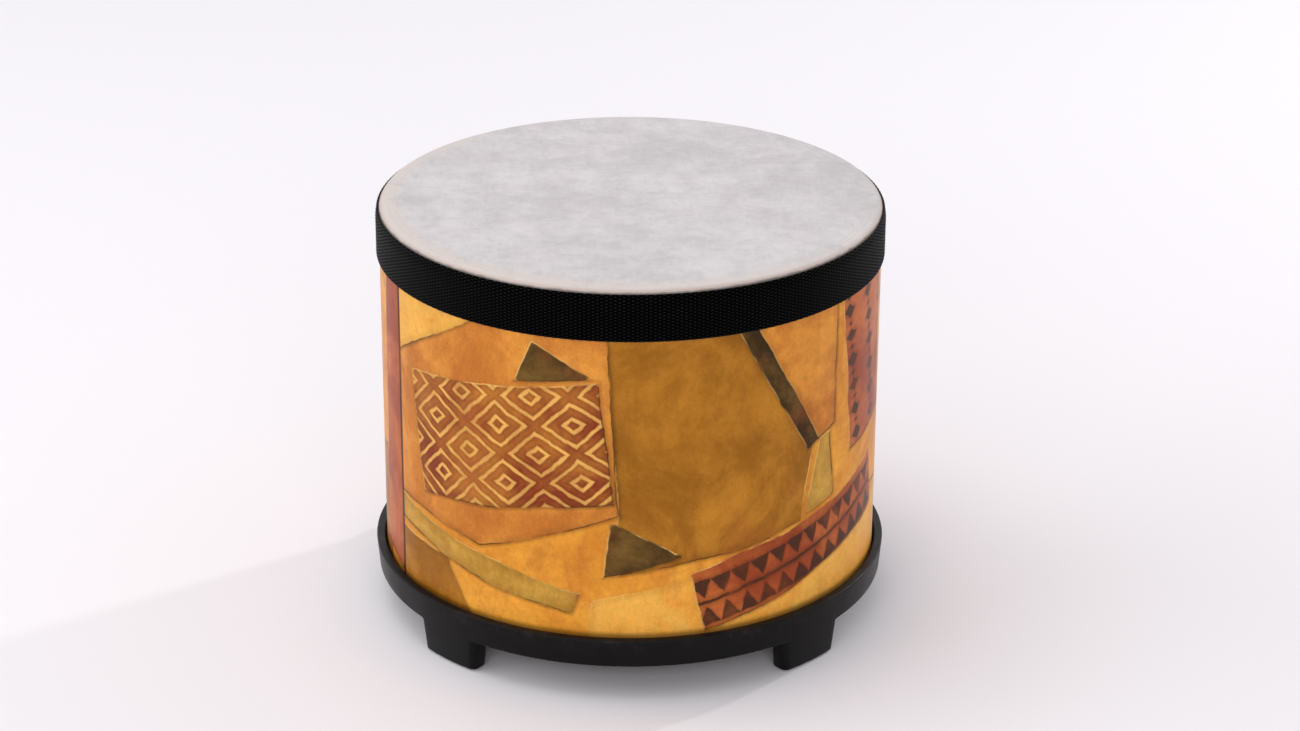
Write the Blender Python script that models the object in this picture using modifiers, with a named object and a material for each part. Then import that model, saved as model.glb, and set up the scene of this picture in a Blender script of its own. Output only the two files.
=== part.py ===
"""Pre-tuned floor drum: fibre tube, printed wrap, film head, woven rim band and a moulded foot ring.

Metres, +Z up. The drum stands on z = 0 with its axis on Z and its front towards -Y.
Angles round the axis are measured from the front, positive towards +X.
"""

import math

import bmesh
import bpy
from mathutils import Matrix, Vector

# Clearances
SEAT_GAP = 0.0003
LAYER_GAP = 0.00015

# Fibre tube
SHELL_RADIUS = 0.1263
SHELL_WALL = 0.0060
SHELL_LENGTH = 0.1938
BEARING_ROUND = 0.0030
BEARING_BEVEL = 0.0020

# Printed wrap, lapped over itself at one upright seam
WRAP_THICKNESS = 0.00035
WRAP_LAP = 0.0120
WRAP_RAMP = 0.0100
WRAP_TUCK = 0.0025
WRAP_SEAM_DEG = -63.5

# Film head, bonded to the outside of the tube by its collar
FILM_THICKNESS = 0.0004
COLLAR_MARGIN = 0.0020

# Woven band over the collar, lapped at the back
BAND_WIDTH = 0.0240
BAND_THICKNESS = 0.0010
BAND_DROP = 0.0023
BAND_LAP = 0.0300
BAND_RAMP = 0.0080
BAND_SEAM_DEG = 172.0

# Moulded base: drafted outer wall, channel for the tube and an inner wall for the screws
RING_HEIGHT = 0.0147
LIP_WIDTH = 0.00455
FLOOR_THICKNESS = 0.0030
INNER_WALL = 0.0025
INNER_WALL_HEIGHT = 0.0160
EDGE_ROUND = 0.0008
DRAFT_DEG = 4.8

# Feet, cored from below
FOOT_COUNT = 4
FOOT_PHASE_DEG = 45.0
FOOT_HEIGHT = 0.0180
FOOT_WIDTH = 0.0405
FOOT_SETBACK = 0.0002
FOOT_INSET = 0.0010
FOOT_CORNER = 0.0040
FOOT_ROUND = 0.0012
FOOT_ROOF = 0.0030

# Soft pads that plug into the feet
PAD_THICKNESS = 0.0020
PAD_PROUD = 0.0006
PAD_MARGIN = 0.0010
PAD_ROUND = 0.0004
PLUG_MARGIN = 0.0015
PLUG_HEIGHT = 0.0050

# Screws through the inner wall into the tube
SCREW_RADIUS = 0.0017
SCREW_HEAD_RADIUS = 0.0035
SCREW_HEAD_HEIGHT = 0.0024
SCREW_HEAD_RIM = 0.0008
SCREW_POINT = 0.0020
SCREW_COVER = 0.0015
RECESS_SPAN = 0.0036
RECESS_WIDTH = 0.0008
RECESS_DEPTH = 0.0013
BOSS_RADIUS = 0.0048
BOSS_RISE = 0.0015

# Facets
TURN_STEPS = 96
SCREW_STEPS = 16
BOSS_STEPS = 24
BEARING_STEPS = 4
ROUND_STEPS = 2
CORNER_STEPS = 3
SIDE_STEPS = 4
DOME_STEPS = 4
RAMP_STEPS = 5
LAP_STEPS = 4
MERGE_DISTANCE = 0.00001

# Heights, from the floor up
FOOT_BOTTOM = PAD_PROUD
RING_BOTTOM = FOOT_HEIGHT
RING_TOP = RING_BOTTOM + RING_HEIGHT
CHANNEL_FLOOR = RING_BOTTOM + FLOOR_THICKNESS
INNER_WALL_TOP = CHANNEL_FLOOR + INNER_WALL_HEIGHT
SCREW_LEVEL = CHANNEL_FLOOR + INNER_WALL_HEIGHT / 2
SHELL_BOTTOM = CHANNEL_FLOOR + SEAT_GAP
SHELL_TOP = SHELL_BOTTOM + SHELL_LENGTH
HEAD_UNDERSIDE = SHELL_TOP + SEAT_GAP
HEAD_TOP = HEAD_UNDERSIDE + FILM_THICKNESS
BAND_TOP = HEAD_TOP - BAND_DROP
BAND_BOTTOM = BAND_TOP - BAND_WIDTH
WRAP_TOP = BAND_BOTTOM + WRAP_TUCK
COLLAR_BOTTOM = WRAP_TOP + COLLAR_MARGIN

# Radii, from the axis out
SHELL_BORE = SHELL_RADIUS - SHELL_WALL
INNER_WALL_OUTSIDE = SHELL_BORE - SEAT_GAP
BASE_BORE = INNER_WALL_OUTSIDE - INNER_WALL
BOSS_FACE = BASE_BORE - BOSS_RISE
SKIN_INSIDE = SHELL_RADIUS + SEAT_GAP
COLLAR_OUTSIDE = SKIN_INSIDE + FILM_THICKNESS
WRAP_LAP_OUTSIDE = SKIN_INSIDE + 2 * WRAP_THICKNESS + LAYER_GAP
BAND_INSIDE = max(COLLAR_OUTSIDE, WRAP_LAP_OUTSIDE) + SEAT_GAP
LIP_INSIDE = WRAP_LAP_OUTSIDE + SEAT_GAP
LIP_OUTSIDE = LIP_INSIDE + LIP_WIDTH
SCREW_TIP = SHELL_RADIUS - SCREW_COVER

# Draft and rounds; a round takes at most this share of the wall it is on
ROUND_SHARE = 0.8
DRAFT = math.tan(math.radians(DRAFT_DEG))
TOP_ROUND = min(BEARING_ROUND, ROUND_SHARE * (SHELL_WALL - BEARING_BEVEL))
LIP_ROUND = min(EDGE_ROUND, ROUND_SHARE * LIP_WIDTH / 2, ROUND_SHARE * INNER_WALL / 2)
FOOT_ANGLES = [math.radians(FOOT_PHASE_DEG + 360 * i / FOOT_COUNT) for i in range(FOOT_COUNT)]


def clear_scene():
    """Removes every object of the open scene."""
    for obj in list(bpy.data.objects):
        bpy.data.objects.remove(obj, do_unlink=True)


def new_collection(name):
    """A collection in the scene for the drum's parts or for its cutters."""
    collection = bpy.data.collections.new(name)
    bpy.context.scene.collection.children.link(collection)
    return collection


def finish(name, colour, roughness, metallic=0.0):
    """A Principled material in one colour."""
    material = bpy.data.materials.new(name)
    material.use_nodes = True
    shader = material.node_tree.nodes["Principled BSDF"]
    shader.inputs["Base Color"].default_value = (*colour, 1.0)
    shader.inputs["Roughness"].default_value = roughness
    shader.inputs["Metallic"].default_value = metallic
    return material


def add_object(name, mesh, collection, material=None):
    """Links a mesh as a named object, with its material if it is a part."""
    obj = bpy.data.objects.new(name, mesh)
    collection.objects.link(obj)
    if material is not None:
        mesh.materials.append(material)
    return obj


def add_cutter(name, body, collection):
    """Links a bmesh as a hidden helper for Boolean modifiers."""
    bmesh.ops.recalc_face_normals(body, faces=body.faces)
    mesh = bpy.data.meshes.new(name)
    body.to_mesh(mesh)
    body.free()
    obj = add_object(name, mesh, collection)
    obj.hide_render = True
    obj.display_type = "WIRE"
    return obj


def boolean(obj, other, operation):
    """Adds one exact Boolean modifier."""
    modifier = obj.modifiers.new(other.name, "BOOLEAN")
    modifier.operation = operation
    modifier.solver = "EXACT"
    modifier.object = other


def polar_point(angle, radius, height):
    """The point at an angle from the front, a radius and a height."""
    return Vector((radius * math.sin(angle), -radius * math.cos(angle), height))


def arc(centre, radius, start_deg, end_deg, steps):
    """Profile points (radius, height) along an arc; 0 degrees points outwards and 90 up."""
    points = []
    for i in range(steps + 1):
        angle = math.radians(start_deg + (end_deg - start_deg) * i / steps)
        points.append((centre[0] + radius * math.cos(angle), centre[1] + radius * math.sin(angle)))
    return points


def turned(name, profile, steps, closed, collection, material=None):
    """Turns a profile about Z: a closed one makes a ring, an open one starts and ends on the axis."""
    edges = [(i, i + 1) for i in range(len(profile) - 1)]
    if closed:
        edges.append((len(profile) - 1, 0))
    mesh = bpy.data.meshes.new(name)
    mesh.from_pydata([(radius, 0.0, height) for radius, height in profile], edges, [])
    obj = add_object(name, mesh, collection, material)
    screw = obj.modifiers.new("Turn", "SCREW")
    screw.steps = steps
    screw.render_steps = steps
    screw.use_merge_vertices = True
    screw.merge_threshold = MERGE_DISTANCE
    return obj


def lapped_strip(name, inside, thickness, low, high, lap, ramp, seam_deg, collection, material):
    """A strip wound once round the drum, whose outer end is stuck down over its inner end.

    It starts under the lap, runs round towards the left at one radius, climbs by one layer
    along the ramp and stops on the seam line.
    """
    middle = inside + thickness / 2
    climb = thickness + LAYER_GAP
    seam = math.radians(seam_deg)
    start = seam + lap / middle
    ramp_start = start - 2 * math.pi + ramp / middle
    path = []
    for i in range(TURN_STEPS):
        path.append((start + (ramp_start - start) * i / TURN_STEPS, middle))
    for i in range(RAMP_STEPS):
        share = i / RAMP_STEPS
        eased = share * share * (3 - 2 * share)
        path.append((ramp_start - share * ramp / middle, middle + climb * eased))
    for i in range(LAP_STEPS + 1):
        path.append((ramp_start - (ramp + lap * i / LAP_STEPS) / middle, middle + climb))
    body = bmesh.new()
    verts = [body.verts.new(polar_point(angle, radius, low)) for angle, radius in path]
    edges = [body.edges.new(pair) for pair in zip(verts, verts[1:])]
    raised = bmesh.ops.extrude_edge_only(body, edges=edges)["geom"]
    raised_verts = [item for item in raised if isinstance(item, bmesh.types.BMVert)]
    bmesh.ops.translate(body, verts=raised_verts, vec=(0.0, 0.0, high - low))
    mesh = bpy.data.meshes.new(name)
    body.to_mesh(mesh)
    body.free()
    mesh.shade_smooth()
    obj = add_object(name, mesh, collection, material)
    solidify = obj.modifiers.new("Thickness", "SOLIDIFY")
    solidify.thickness = thickness
    solidify.offset = 0.0
    return obj


def loft(body, loops):
    """Skins closed loops of equal count, one after the other, and caps both ends."""
    rings = [[body.verts.new(point) for point in loop] for loop in loops]
    count = len(rings[0])
    for upper, lower in zip(rings, rings[1:]):
        for i in range(count):
            after = (i + 1) % count
            body.faces.new((upper[i], upper[after], lower[after], lower[i]))
    body.faces.new(rings[0])
    body.faces.new(rings[-1])


def base_outside(height):
    """Outer radius of the base at a height, from the lip down along the draft."""
    return LIP_OUTSIDE - (RING_TOP - height) * DRAFT


def foot_outline(angle, level, inset, height):
    """A foot's rounded section at a level, drawn in by an inset and laid at a height.

    The section is a rounded rectangle in arc length and radius, bent round the drum's axis.
    """
    outer = base_outside(level) - FOOT_SETBACK - inset
    inner = BASE_BORE + FOOT_INSET + inset
    half = FOOT_WIDTH / 2 - (RING_BOTTOM - level) * DRAFT - inset
    limit = ROUND_SHARE * min(half, (outer - inner) / 2)
    corner = min(max(FOOT_CORNER - inset, EDGE_ROUND), limit)
    right = half - corner
    far = outer - corner
    near = inner + corner
    flat = arc((right, far), corner, 0, 90, CORNER_STEPS)
    flat += [(right - 2 * right * i / SIDE_STEPS, outer) for i in range(1, SIDE_STEPS)]
    flat += arc((-right, far), corner, 90, 180, CORNER_STEPS)
    flat += arc((-right, near), corner, 180, 270, CORNER_STEPS)
    flat += [(2 * right * i / SIDE_STEPS - right, inner) for i in range(1, SIDE_STEPS)]
    flat += arc((right, near), corner, 270, 360, CORNER_STEPS)
    bend = base_outside(RING_BOTTOM)
    return [polar_point(angle + along / bend, radius, height) for along, radius in flat]


def add_foot(body, angle):
    """A drafted foot with a rounded lower edge, rooted in the channel floor."""
    loops = [foot_outline(angle, RING_BOTTOM, 0.0, RING_BOTTOM + FLOOR_THICKNESS / 2)]
    loops.append(foot_outline(angle, RING_BOTTOM, 0.0, RING_BOTTOM))
    for inset, drop in arc((FOOT_ROUND, FOOT_ROUND), FOOT_ROUND, 180, 270, ROUND_STEPS):
        level = FOOT_BOTTOM + drop
        loops.append(foot_outline(angle, level, inset, level))
    loft(body, loops)


def stepped_plug(body, angle, inset, ledge, low, shelf, top, edge=0.0):
    """A plate with the foot's own outline and a smaller plug standing on it."""
    levels = [(inset + edge, low), (inset, low + edge)] if edge else [(inset, low)]
    levels += [(inset, shelf), (inset + ledge, shelf), (inset + ledge, top)]
    loft(body, [foot_outline(angle, FOOT_BOTTOM, drawn_in, height) for drawn_in, height in levels])


def radial_cylinder(body, angle, inner, outer, radius, steps):
    """A cylinder at the screws' level, lying along a radius."""
    direction = polar_point(angle, 1.0, 0.0)
    place = Matrix.Translation(polar_point(angle, (inner + outer) / 2, SCREW_LEVEL))
    turn = direction.to_track_quat("Z", "Y").to_matrix().to_4x4()
    bmesh.ops.create_cone(
        body, cap_ends=True, segments=steps, radius1=radius, radius2=radius,
        depth=outer - inner, matrix=place @ turn,
    )


def screw_holes(cutters):
    """Clearance holes through the bosses and blind into the tube."""
    body = bmesh.new()
    for angle in FOOT_ANGLES:
        radial_cylinder(
            body, angle, BOSS_FACE - BOSS_RISE, SCREW_TIP + SEAT_GAP, SCREW_RADIUS + SEAT_GAP, SCREW_STEPS
        )
    return add_cutter("screw_holes", body, cutters)


def make_shell(parts, holes):
    """The tube: a rounded and bevelled bearing edge on top, square below, with blind screw holes."""
    profile = arc((SHELL_RADIUS - TOP_ROUND, SHELL_TOP - TOP_ROUND), TOP_ROUND, 90, 0, BEARING_STEPS)
    profile += [(SHELL_RADIUS, SHELL_BOTTOM), (SHELL_BORE, SHELL_BOTTOM)]
    profile += [(SHELL_BORE, SHELL_TOP - BEARING_BEVEL), (SHELL_BORE + BEARING_BEVEL, SHELL_TOP)]
    material = finish("fibre", (0.24, 0.13, 0.06), 0.75)
    shell = turned("drum_shell", profile, TURN_STEPS, True, parts, material)
    boolean(shell, holes, "DIFFERENCE")
    return shell


def make_wrap(parts):
    """The printed laminate, from the channel floor up to just under the band."""
    material = finish("printed_wrap", (0.52, 0.22, 0.04), 0.4)
    return lapped_strip(
        "shell_wrap", SKIN_INSIDE, WRAP_THICKNESS, SHELL_BOTTOM, WRAP_TOP, WRAP_LAP, WRAP_RAMP,
        WRAP_SEAM_DEG, parts, material,
    )


def make_head(parts):
    """The film: a flat disc, a bend over the bearing edge and a collar down the tube."""
    centre = (SHELL_RADIUS - TOP_ROUND, SHELL_TOP - TOP_ROUND)
    inner_bend = TOP_ROUND + SEAT_GAP
    profile = [(0.0, HEAD_TOP)]
    profile += arc(centre, inner_bend + FILM_THICKNESS, 90, 0, BEARING_STEPS)
    profile += [(COLLAR_OUTSIDE, COLLAR_BOTTOM), (SKIN_INSIDE, COLLAR_BOTTOM)]
    profile += arc(centre, inner_bend, 0, 90, BEARING_STEPS)
    profile += [(0.0, HEAD_UNDERSIDE)]
    material = finish("film", (0.64, 0.61, 0.62), 0.55)
    return turned("drumhead", profile, TURN_STEPS, False, parts, material)


def make_band(parts):
    """The woven tape round the collar."""
    material = finish("woven_tape", (0.006, 0.006, 0.007), 0.8)
    return lapped_strip(
        "rim_band", BAND_INSIDE, BAND_THICKNESS, BAND_BOTTOM, BAND_TOP, BAND_LAP, BAND_RAMP,
        BAND_SEAM_DEG, parts, material,
    )


def base_profile():
    """Section of the base ring: lip, drafted wall, underside, bore, inner wall and channel."""
    foot_of_wall = base_outside(RING_BOTTOM)
    profile = arc((LIP_OUTSIDE - LIP_ROUND, RING_TOP - LIP_ROUND), LIP_ROUND, 90, 0, ROUND_STEPS)
    profile += arc((foot_of_wall - LIP_ROUND, RING_BOTTOM + LIP_ROUND), LIP_ROUND, 0, -90, ROUND_STEPS)
    profile += [(BASE_BORE, RING_BOTTOM)]
    profile += arc((BASE_BORE + LIP_ROUND, INNER_WALL_TOP - LIP_ROUND), LIP_ROUND, 180, 90, ROUND_STEPS)
    inner_edge = INNER_WALL_OUTSIDE - LIP_ROUND
    profile += arc((inner_edge, INNER_WALL_TOP - LIP_ROUND), LIP_ROUND, 90, 0, ROUND_STEPS)
    profile += [(INNER_WALL_OUTSIDE, CHANNEL_FLOOR), (LIP_INSIDE, CHANNEL_FLOOR)]
    profile += arc((LIP_INSIDE + LIP_ROUND, RING_TOP - LIP_ROUND), LIP_ROUND, 180, 90, ROUND_STEPS)
    return profile


def make_base(parts, cutters, holes):
    """The moulded base: the ring, its feet and bosses joined on, then the cores and holes cut out."""
    material = finish("moulded_base", (0.018, 0.017, 0.018), 0.45)
    base = turned("base_ring", base_profile(), TURN_STEPS, True, parts, material)
    added = bmesh.new()
    cored = bmesh.new()
    recess = FOOT_ROUND + PAD_MARGIN - SEAT_GAP
    for angle in FOOT_ANGLES:
        add_foot(added, angle)
        radial_cylinder(added, angle, BOSS_FACE, BASE_BORE + INNER_WALL / 2, BOSS_RADIUS, BOSS_STEPS)
        stepped_plug(
            cored, angle, recess, PLUG_MARGIN, -PAD_THICKNESS, PAD_THICKNESS + SEAT_GAP,
            RING_BOTTOM - FOOT_ROOF,
        )
    boolean(base, add_cutter("feet_and_bosses", added, cutters), "UNION")
    boolean(base, add_cutter("foot_cores", cored, cutters), "DIFFERENCE")
    boolean(base, holes, "DIFFERENCE")
    return base


def make_pads(parts):
    """One soft pad for each foot, with a plug that fits the foot's core."""
    material = finish("pad_rubber", (0.03, 0.03, 0.03), 0.85)
    pads = []
    for i, angle in enumerate(FOOT_ANGLES):
        body = bmesh.new()
        stepped_plug(
            body, angle, FOOT_ROUND + PAD_MARGIN, PLUG_MARGIN, 0.0, PAD_THICKNESS,
            PAD_THICKNESS + PLUG_HEIGHT, PAD_ROUND,
        )
        bmesh.ops.recalc_face_normals(body, faces=body.faces)
        mesh = bpy.data.meshes.new(f"foot_pad_{i + 1}")
        body.to_mesh(mesh)
        body.free()
        pads.append(add_object(mesh.name, mesh, parts, material))
    return pads


def recess_bars(cutters):
    """The two crossed bars that cut the driver recess, at the origin."""
    bars = []
    for name, width, length in (("bar_x", RECESS_SPAN, RECESS_WIDTH), ("bar_y", RECESS_WIDTH, RECESS_SPAN)):
        body = bmesh.new()
        size = Matrix.Diagonal((width, length, 2 * RECESS_DEPTH, 1.0))
        place = Matrix.Translation((0.0, 0.0, SCREW_HEAD_HEIGHT))
        bmesh.ops.create_cube(body, size=1.0, matrix=place @ size)
        bars.append(add_cutter(f"recess_{name}", body, cutters))
    return bars


def screw_mesh(cutters):
    """A pan-head screw along Z, its head's seat at the origin and its point below."""
    length = SCREW_TIP - BOSS_FACE + SEAT_GAP
    dome = SCREW_HEAD_HEIGHT - SCREW_HEAD_RIM
    profile = []
    for i in range(DOME_STEPS + 1):
        angle = math.pi / 2 * i / DOME_STEPS
        profile.append((SCREW_HEAD_RADIUS * math.sin(angle), SCREW_HEAD_RIM + dome * math.cos(angle)))
    profile += [(SCREW_HEAD_RADIUS, 0.0), (SCREW_RADIUS, 0.0)]
    profile += [(SCREW_RADIUS, SCREW_POINT - length), (0.0, -length)]
    material = finish("screw_steel", (0.55, 0.55, 0.56), 0.35, 1.0)
    pattern = turned("screw_pattern", profile, SCREW_STEPS, False, cutters, material)
    for bar in recess_bars(cutters):
        boolean(pattern, bar, "DIFFERENCE")
    graph = bpy.context.evaluated_depsgraph_get()
    mesh = bpy.data.meshes.new_from_object(pattern.evaluated_get(graph))
    bpy.data.objects.remove(pattern, do_unlink=True)
    return mesh


def make_screws(parts, cutters):
    """A screw on each boss, its head inside the drum and its point in the tube."""
    mesh = screw_mesh(cutters)
    screws = []
    for i, angle in enumerate(FOOT_ANGLES):
        screw = add_object(f"base_screw_{i + 1}", mesh, parts)
        screw.location = polar_point(angle, BOSS_FACE - SEAT_GAP, SCREW_LEVEL)
        screw.rotation_euler = polar_point(angle, -1.0, 0.0).to_track_quat("Z", "Y").to_euler()
        screws.append(screw)
    return screws


def main():
    """Builds the drum and hangs its parts on one empty."""
    clear_scene()
    parts = new_collection("floor_drum")
    cutters = new_collection("floor_drum_cutters")
    holes = screw_holes(cutters)
    pieces = [make_shell(parts, holes), make_wrap(parts), make_head(parts), make_band(parts)]
    pieces.append(make_base(parts, cutters, holes))
    pieces += make_pads(parts)
    pieces += make_screws(parts, cutters)
    origin = bpy.data.objects.new("floor_drum_origin", None)
    parts.objects.link(origin)
    for piece in pieces:
        piece.parent = origin


main()
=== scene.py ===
# %% [markdown]
# # A small floor drum, dressed piece by piece
# The drum is a fibre tube that stands in a black moulded ring with four feet. A printed wrap covers the
# tube, a mottled film head is bonded over its top edge, and a woven tape hides the head's collar. The CAD
# model already has every piece at its real size, so this lesson only gives each one its fine surface and
# its finish. Lengths are in metres, the drum's axis is Z, its front faces -Y, and angles round the drum are
# counted from the front towards +X.

# %% Load the frame
import math

import bmesh
import bpy
import numpy as np
from mathutils import Matrix, Vector


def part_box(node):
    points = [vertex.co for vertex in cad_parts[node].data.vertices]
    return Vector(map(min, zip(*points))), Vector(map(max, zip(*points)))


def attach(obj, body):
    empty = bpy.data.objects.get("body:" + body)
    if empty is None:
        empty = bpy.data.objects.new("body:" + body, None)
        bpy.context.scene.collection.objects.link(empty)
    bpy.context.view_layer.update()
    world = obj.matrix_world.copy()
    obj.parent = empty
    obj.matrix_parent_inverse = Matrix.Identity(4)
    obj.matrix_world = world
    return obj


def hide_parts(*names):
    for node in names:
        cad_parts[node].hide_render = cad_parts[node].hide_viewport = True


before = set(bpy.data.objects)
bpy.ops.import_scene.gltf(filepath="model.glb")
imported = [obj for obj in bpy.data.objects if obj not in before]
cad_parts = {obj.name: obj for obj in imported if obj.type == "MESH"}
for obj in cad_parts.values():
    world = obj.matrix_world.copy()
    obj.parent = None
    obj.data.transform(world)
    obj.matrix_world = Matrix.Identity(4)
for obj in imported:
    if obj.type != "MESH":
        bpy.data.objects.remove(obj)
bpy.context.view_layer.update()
MM = 0.001


def in_mm(length):
    """A length in metres as millimetres, rounded for printing."""
    return round(float(length) / MM, 2)


# %% [markdown]
# ## Sizes that the frame already holds
# Every round piece is centred on the axis, so the side of its box is its radius. Reading these from the
# frame keeps the fine surfaces where the CAD solids are. The few sizes that a box can't tell, such as the
# film's thickness or a lap's length, are named in the step that needs them.

# %% Radii and heights
def radius_and_heights(node):
    """Outer radius, lowest and highest point of a round node."""
    low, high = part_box(node)
    return high.x, low.z, high.z


tube_radius, tube_bottom, tube_top = radius_and_heights("drum_shell")
collar_radius, collar_bottom, head_top = radius_and_heights("drumhead")
lip_radius, foot_bottom, inner_wall_top = radius_and_heights("base_ring")
wrap_bottom, wrap_top = radius_and_heights("shell_wrap")[1:]
band_bottom, band_top = radius_and_heights("rim_band")[1:]
print("tube radius", in_mm(tube_radius), "mm, head at", in_mm(head_top), "mm")

# %% [markdown]
# ## Camera
# The photograph looks down on the drum by about 23 degrees from roughly 1.8 m away. The drum's two visible
# ellipses fix the tilt and the distance, and its width fixes the focal length, which is written in pixels of
# the photograph's frame and turned into millimetres on the sensor. An unturned camera looks straight down,
# so the tilt is counted back from a right angle.

# %% Camera at the photograph's viewing angle
PHOTO_WIDTH_PIXELS = 1300
FOCAL_PIXELS = 3353.8
SENSOR_WIDTH_MM = 36.0
CAMERA_PLACE = (0.0, -1.5881, 0.79935)
CAMERA_TURN_DEG = -0.367
CAMERA_DOWN_DEG = 23.06
CAMERA_ROLL_DEG = 0.323

camera = bpy.data.objects.new("camera", bpy.data.cameras.new("camera"))
camera.data.sensor_width = SENSOR_WIDTH_MM
camera.data.lens = FOCAL_PIXELS / PHOTO_WIDTH_PIXELS * SENSOR_WIDTH_MM
camera.matrix_world = (
    Matrix.Translation(CAMERA_PLACE)
    @ Matrix.Rotation(math.radians(CAMERA_TURN_DEG), 4, "Z")
    @ Matrix.Rotation(math.radians(90 - CAMERA_DOWN_DEG), 4, "X")
    @ Matrix.Rotation(math.radians(CAMERA_ROLL_DEG), 4, "Z")
)
bpy.context.scene.collection.objects.link(camera)
bpy.context.scene.camera = camera
bpy.context.scene.view_settings.view_transform = "Standard"
print("lens", round(camera.data.lens, 2), "mm")

# %% [markdown]
# ## Finishes as small programs
# A procedural finish is a sum that the shader works out at each point of a surface. Nodes wired one by one
# are hard to read, so two small classes stand in for them. The first is a Value, a number on the surface
# that can be added, multiplied and compared like any other number. Colours are written as a screen shows
# them and turned into the linear light that a shader reckons in.

# %% Colours and values
def paint(red, green, blue):
    """A colour given as 0 to 255 screen values, turned into linear light by the sRGB curve."""
    share = np.array([red, green, blue]) / 255
    linear = np.where(share <= 0.04045, share / 12.92, ((share + 0.055) / 1.055) ** 2.4)
    return (*linear.tolist(), 1.0)


class Value:
    """A number that the shader works out at each point of a surface."""

    def __init__(self, finish, socket):
        self.finish = finish
        self.socket = socket

    def apply(self, operation, *others):
        """What one math node makes of this value and the others."""
        node = self.finish.node("ShaderNodeMath", operation=operation)
        for socket, value in zip(node.inputs, (self, *others)):
            self.finish.join(value, socket)
        return Value(self.finish, node.outputs[0])

    def __add__(self, other):
        return self.apply("ADD", other)

    def __sub__(self, other):
        return self.apply("SUBTRACT", other)

    def __mul__(self, other):
        return self.apply("MULTIPLY", other)

    def __truediv__(self, other):
        return self.apply("DIVIDE", other)

    def fraction(self):
        """The part after the decimal point."""
        return self.apply("FRACT")

    def size(self):
        """The value without its sign."""
        return self.apply("ABSOLUTE")

    def least(self, other):
        """The smaller of two values."""
        return self.apply("MINIMUM", other)

    def most(self, other):
        """The larger of two values."""
        return self.apply("MAXIMUM", other)

    def step(self, low, high, start=0.0, end=1.0):
        """start up to low, end from high on, and a smooth change between them."""
        node = self.finish.node("ShaderNodeMapRange", interpolation_type="SMOOTHSTEP", clamp=False)
        for socket, value in zip(node.inputs, (self, low, high, start, end)):
            self.finish.join(value, socket)
        return Value(self.finish, node.outputs[0])

    def fade(self, low, high, start=1.0):
        """start up to low, a smooth fall, and nothing from high on."""
        return self.step(low, high, start, 0.0)


def mixed(values, shares):
    """The sum of several values, each times its own share."""
    total = values[0] * shares[0]
    for value, share in zip(values[1:], shares[1:]):
        total = total + value * share
    return total


print("a mid grey in linear light:", round(paint(128, 128, 128)[0], 3))

# %% [markdown]
# The second is a Finish, a material that hands out such values (places, noise, stored numbers) and takes
# them back as colour, roughness or fine relief. What is the same all over a surface is written straight on
# the shader's sockets.

# %% Finishes
BLACK = (0.0, 0.0, 0.0, 1.0)
NOISE_MIDDLE = 0.5
# A Mix node has sockets for every kind of data; these are its share and those for colours.
MIX_SHARE = 0
MIX_LOW = 6
MIX_HIGH = 7
MIX_RESULT = 2


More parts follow.
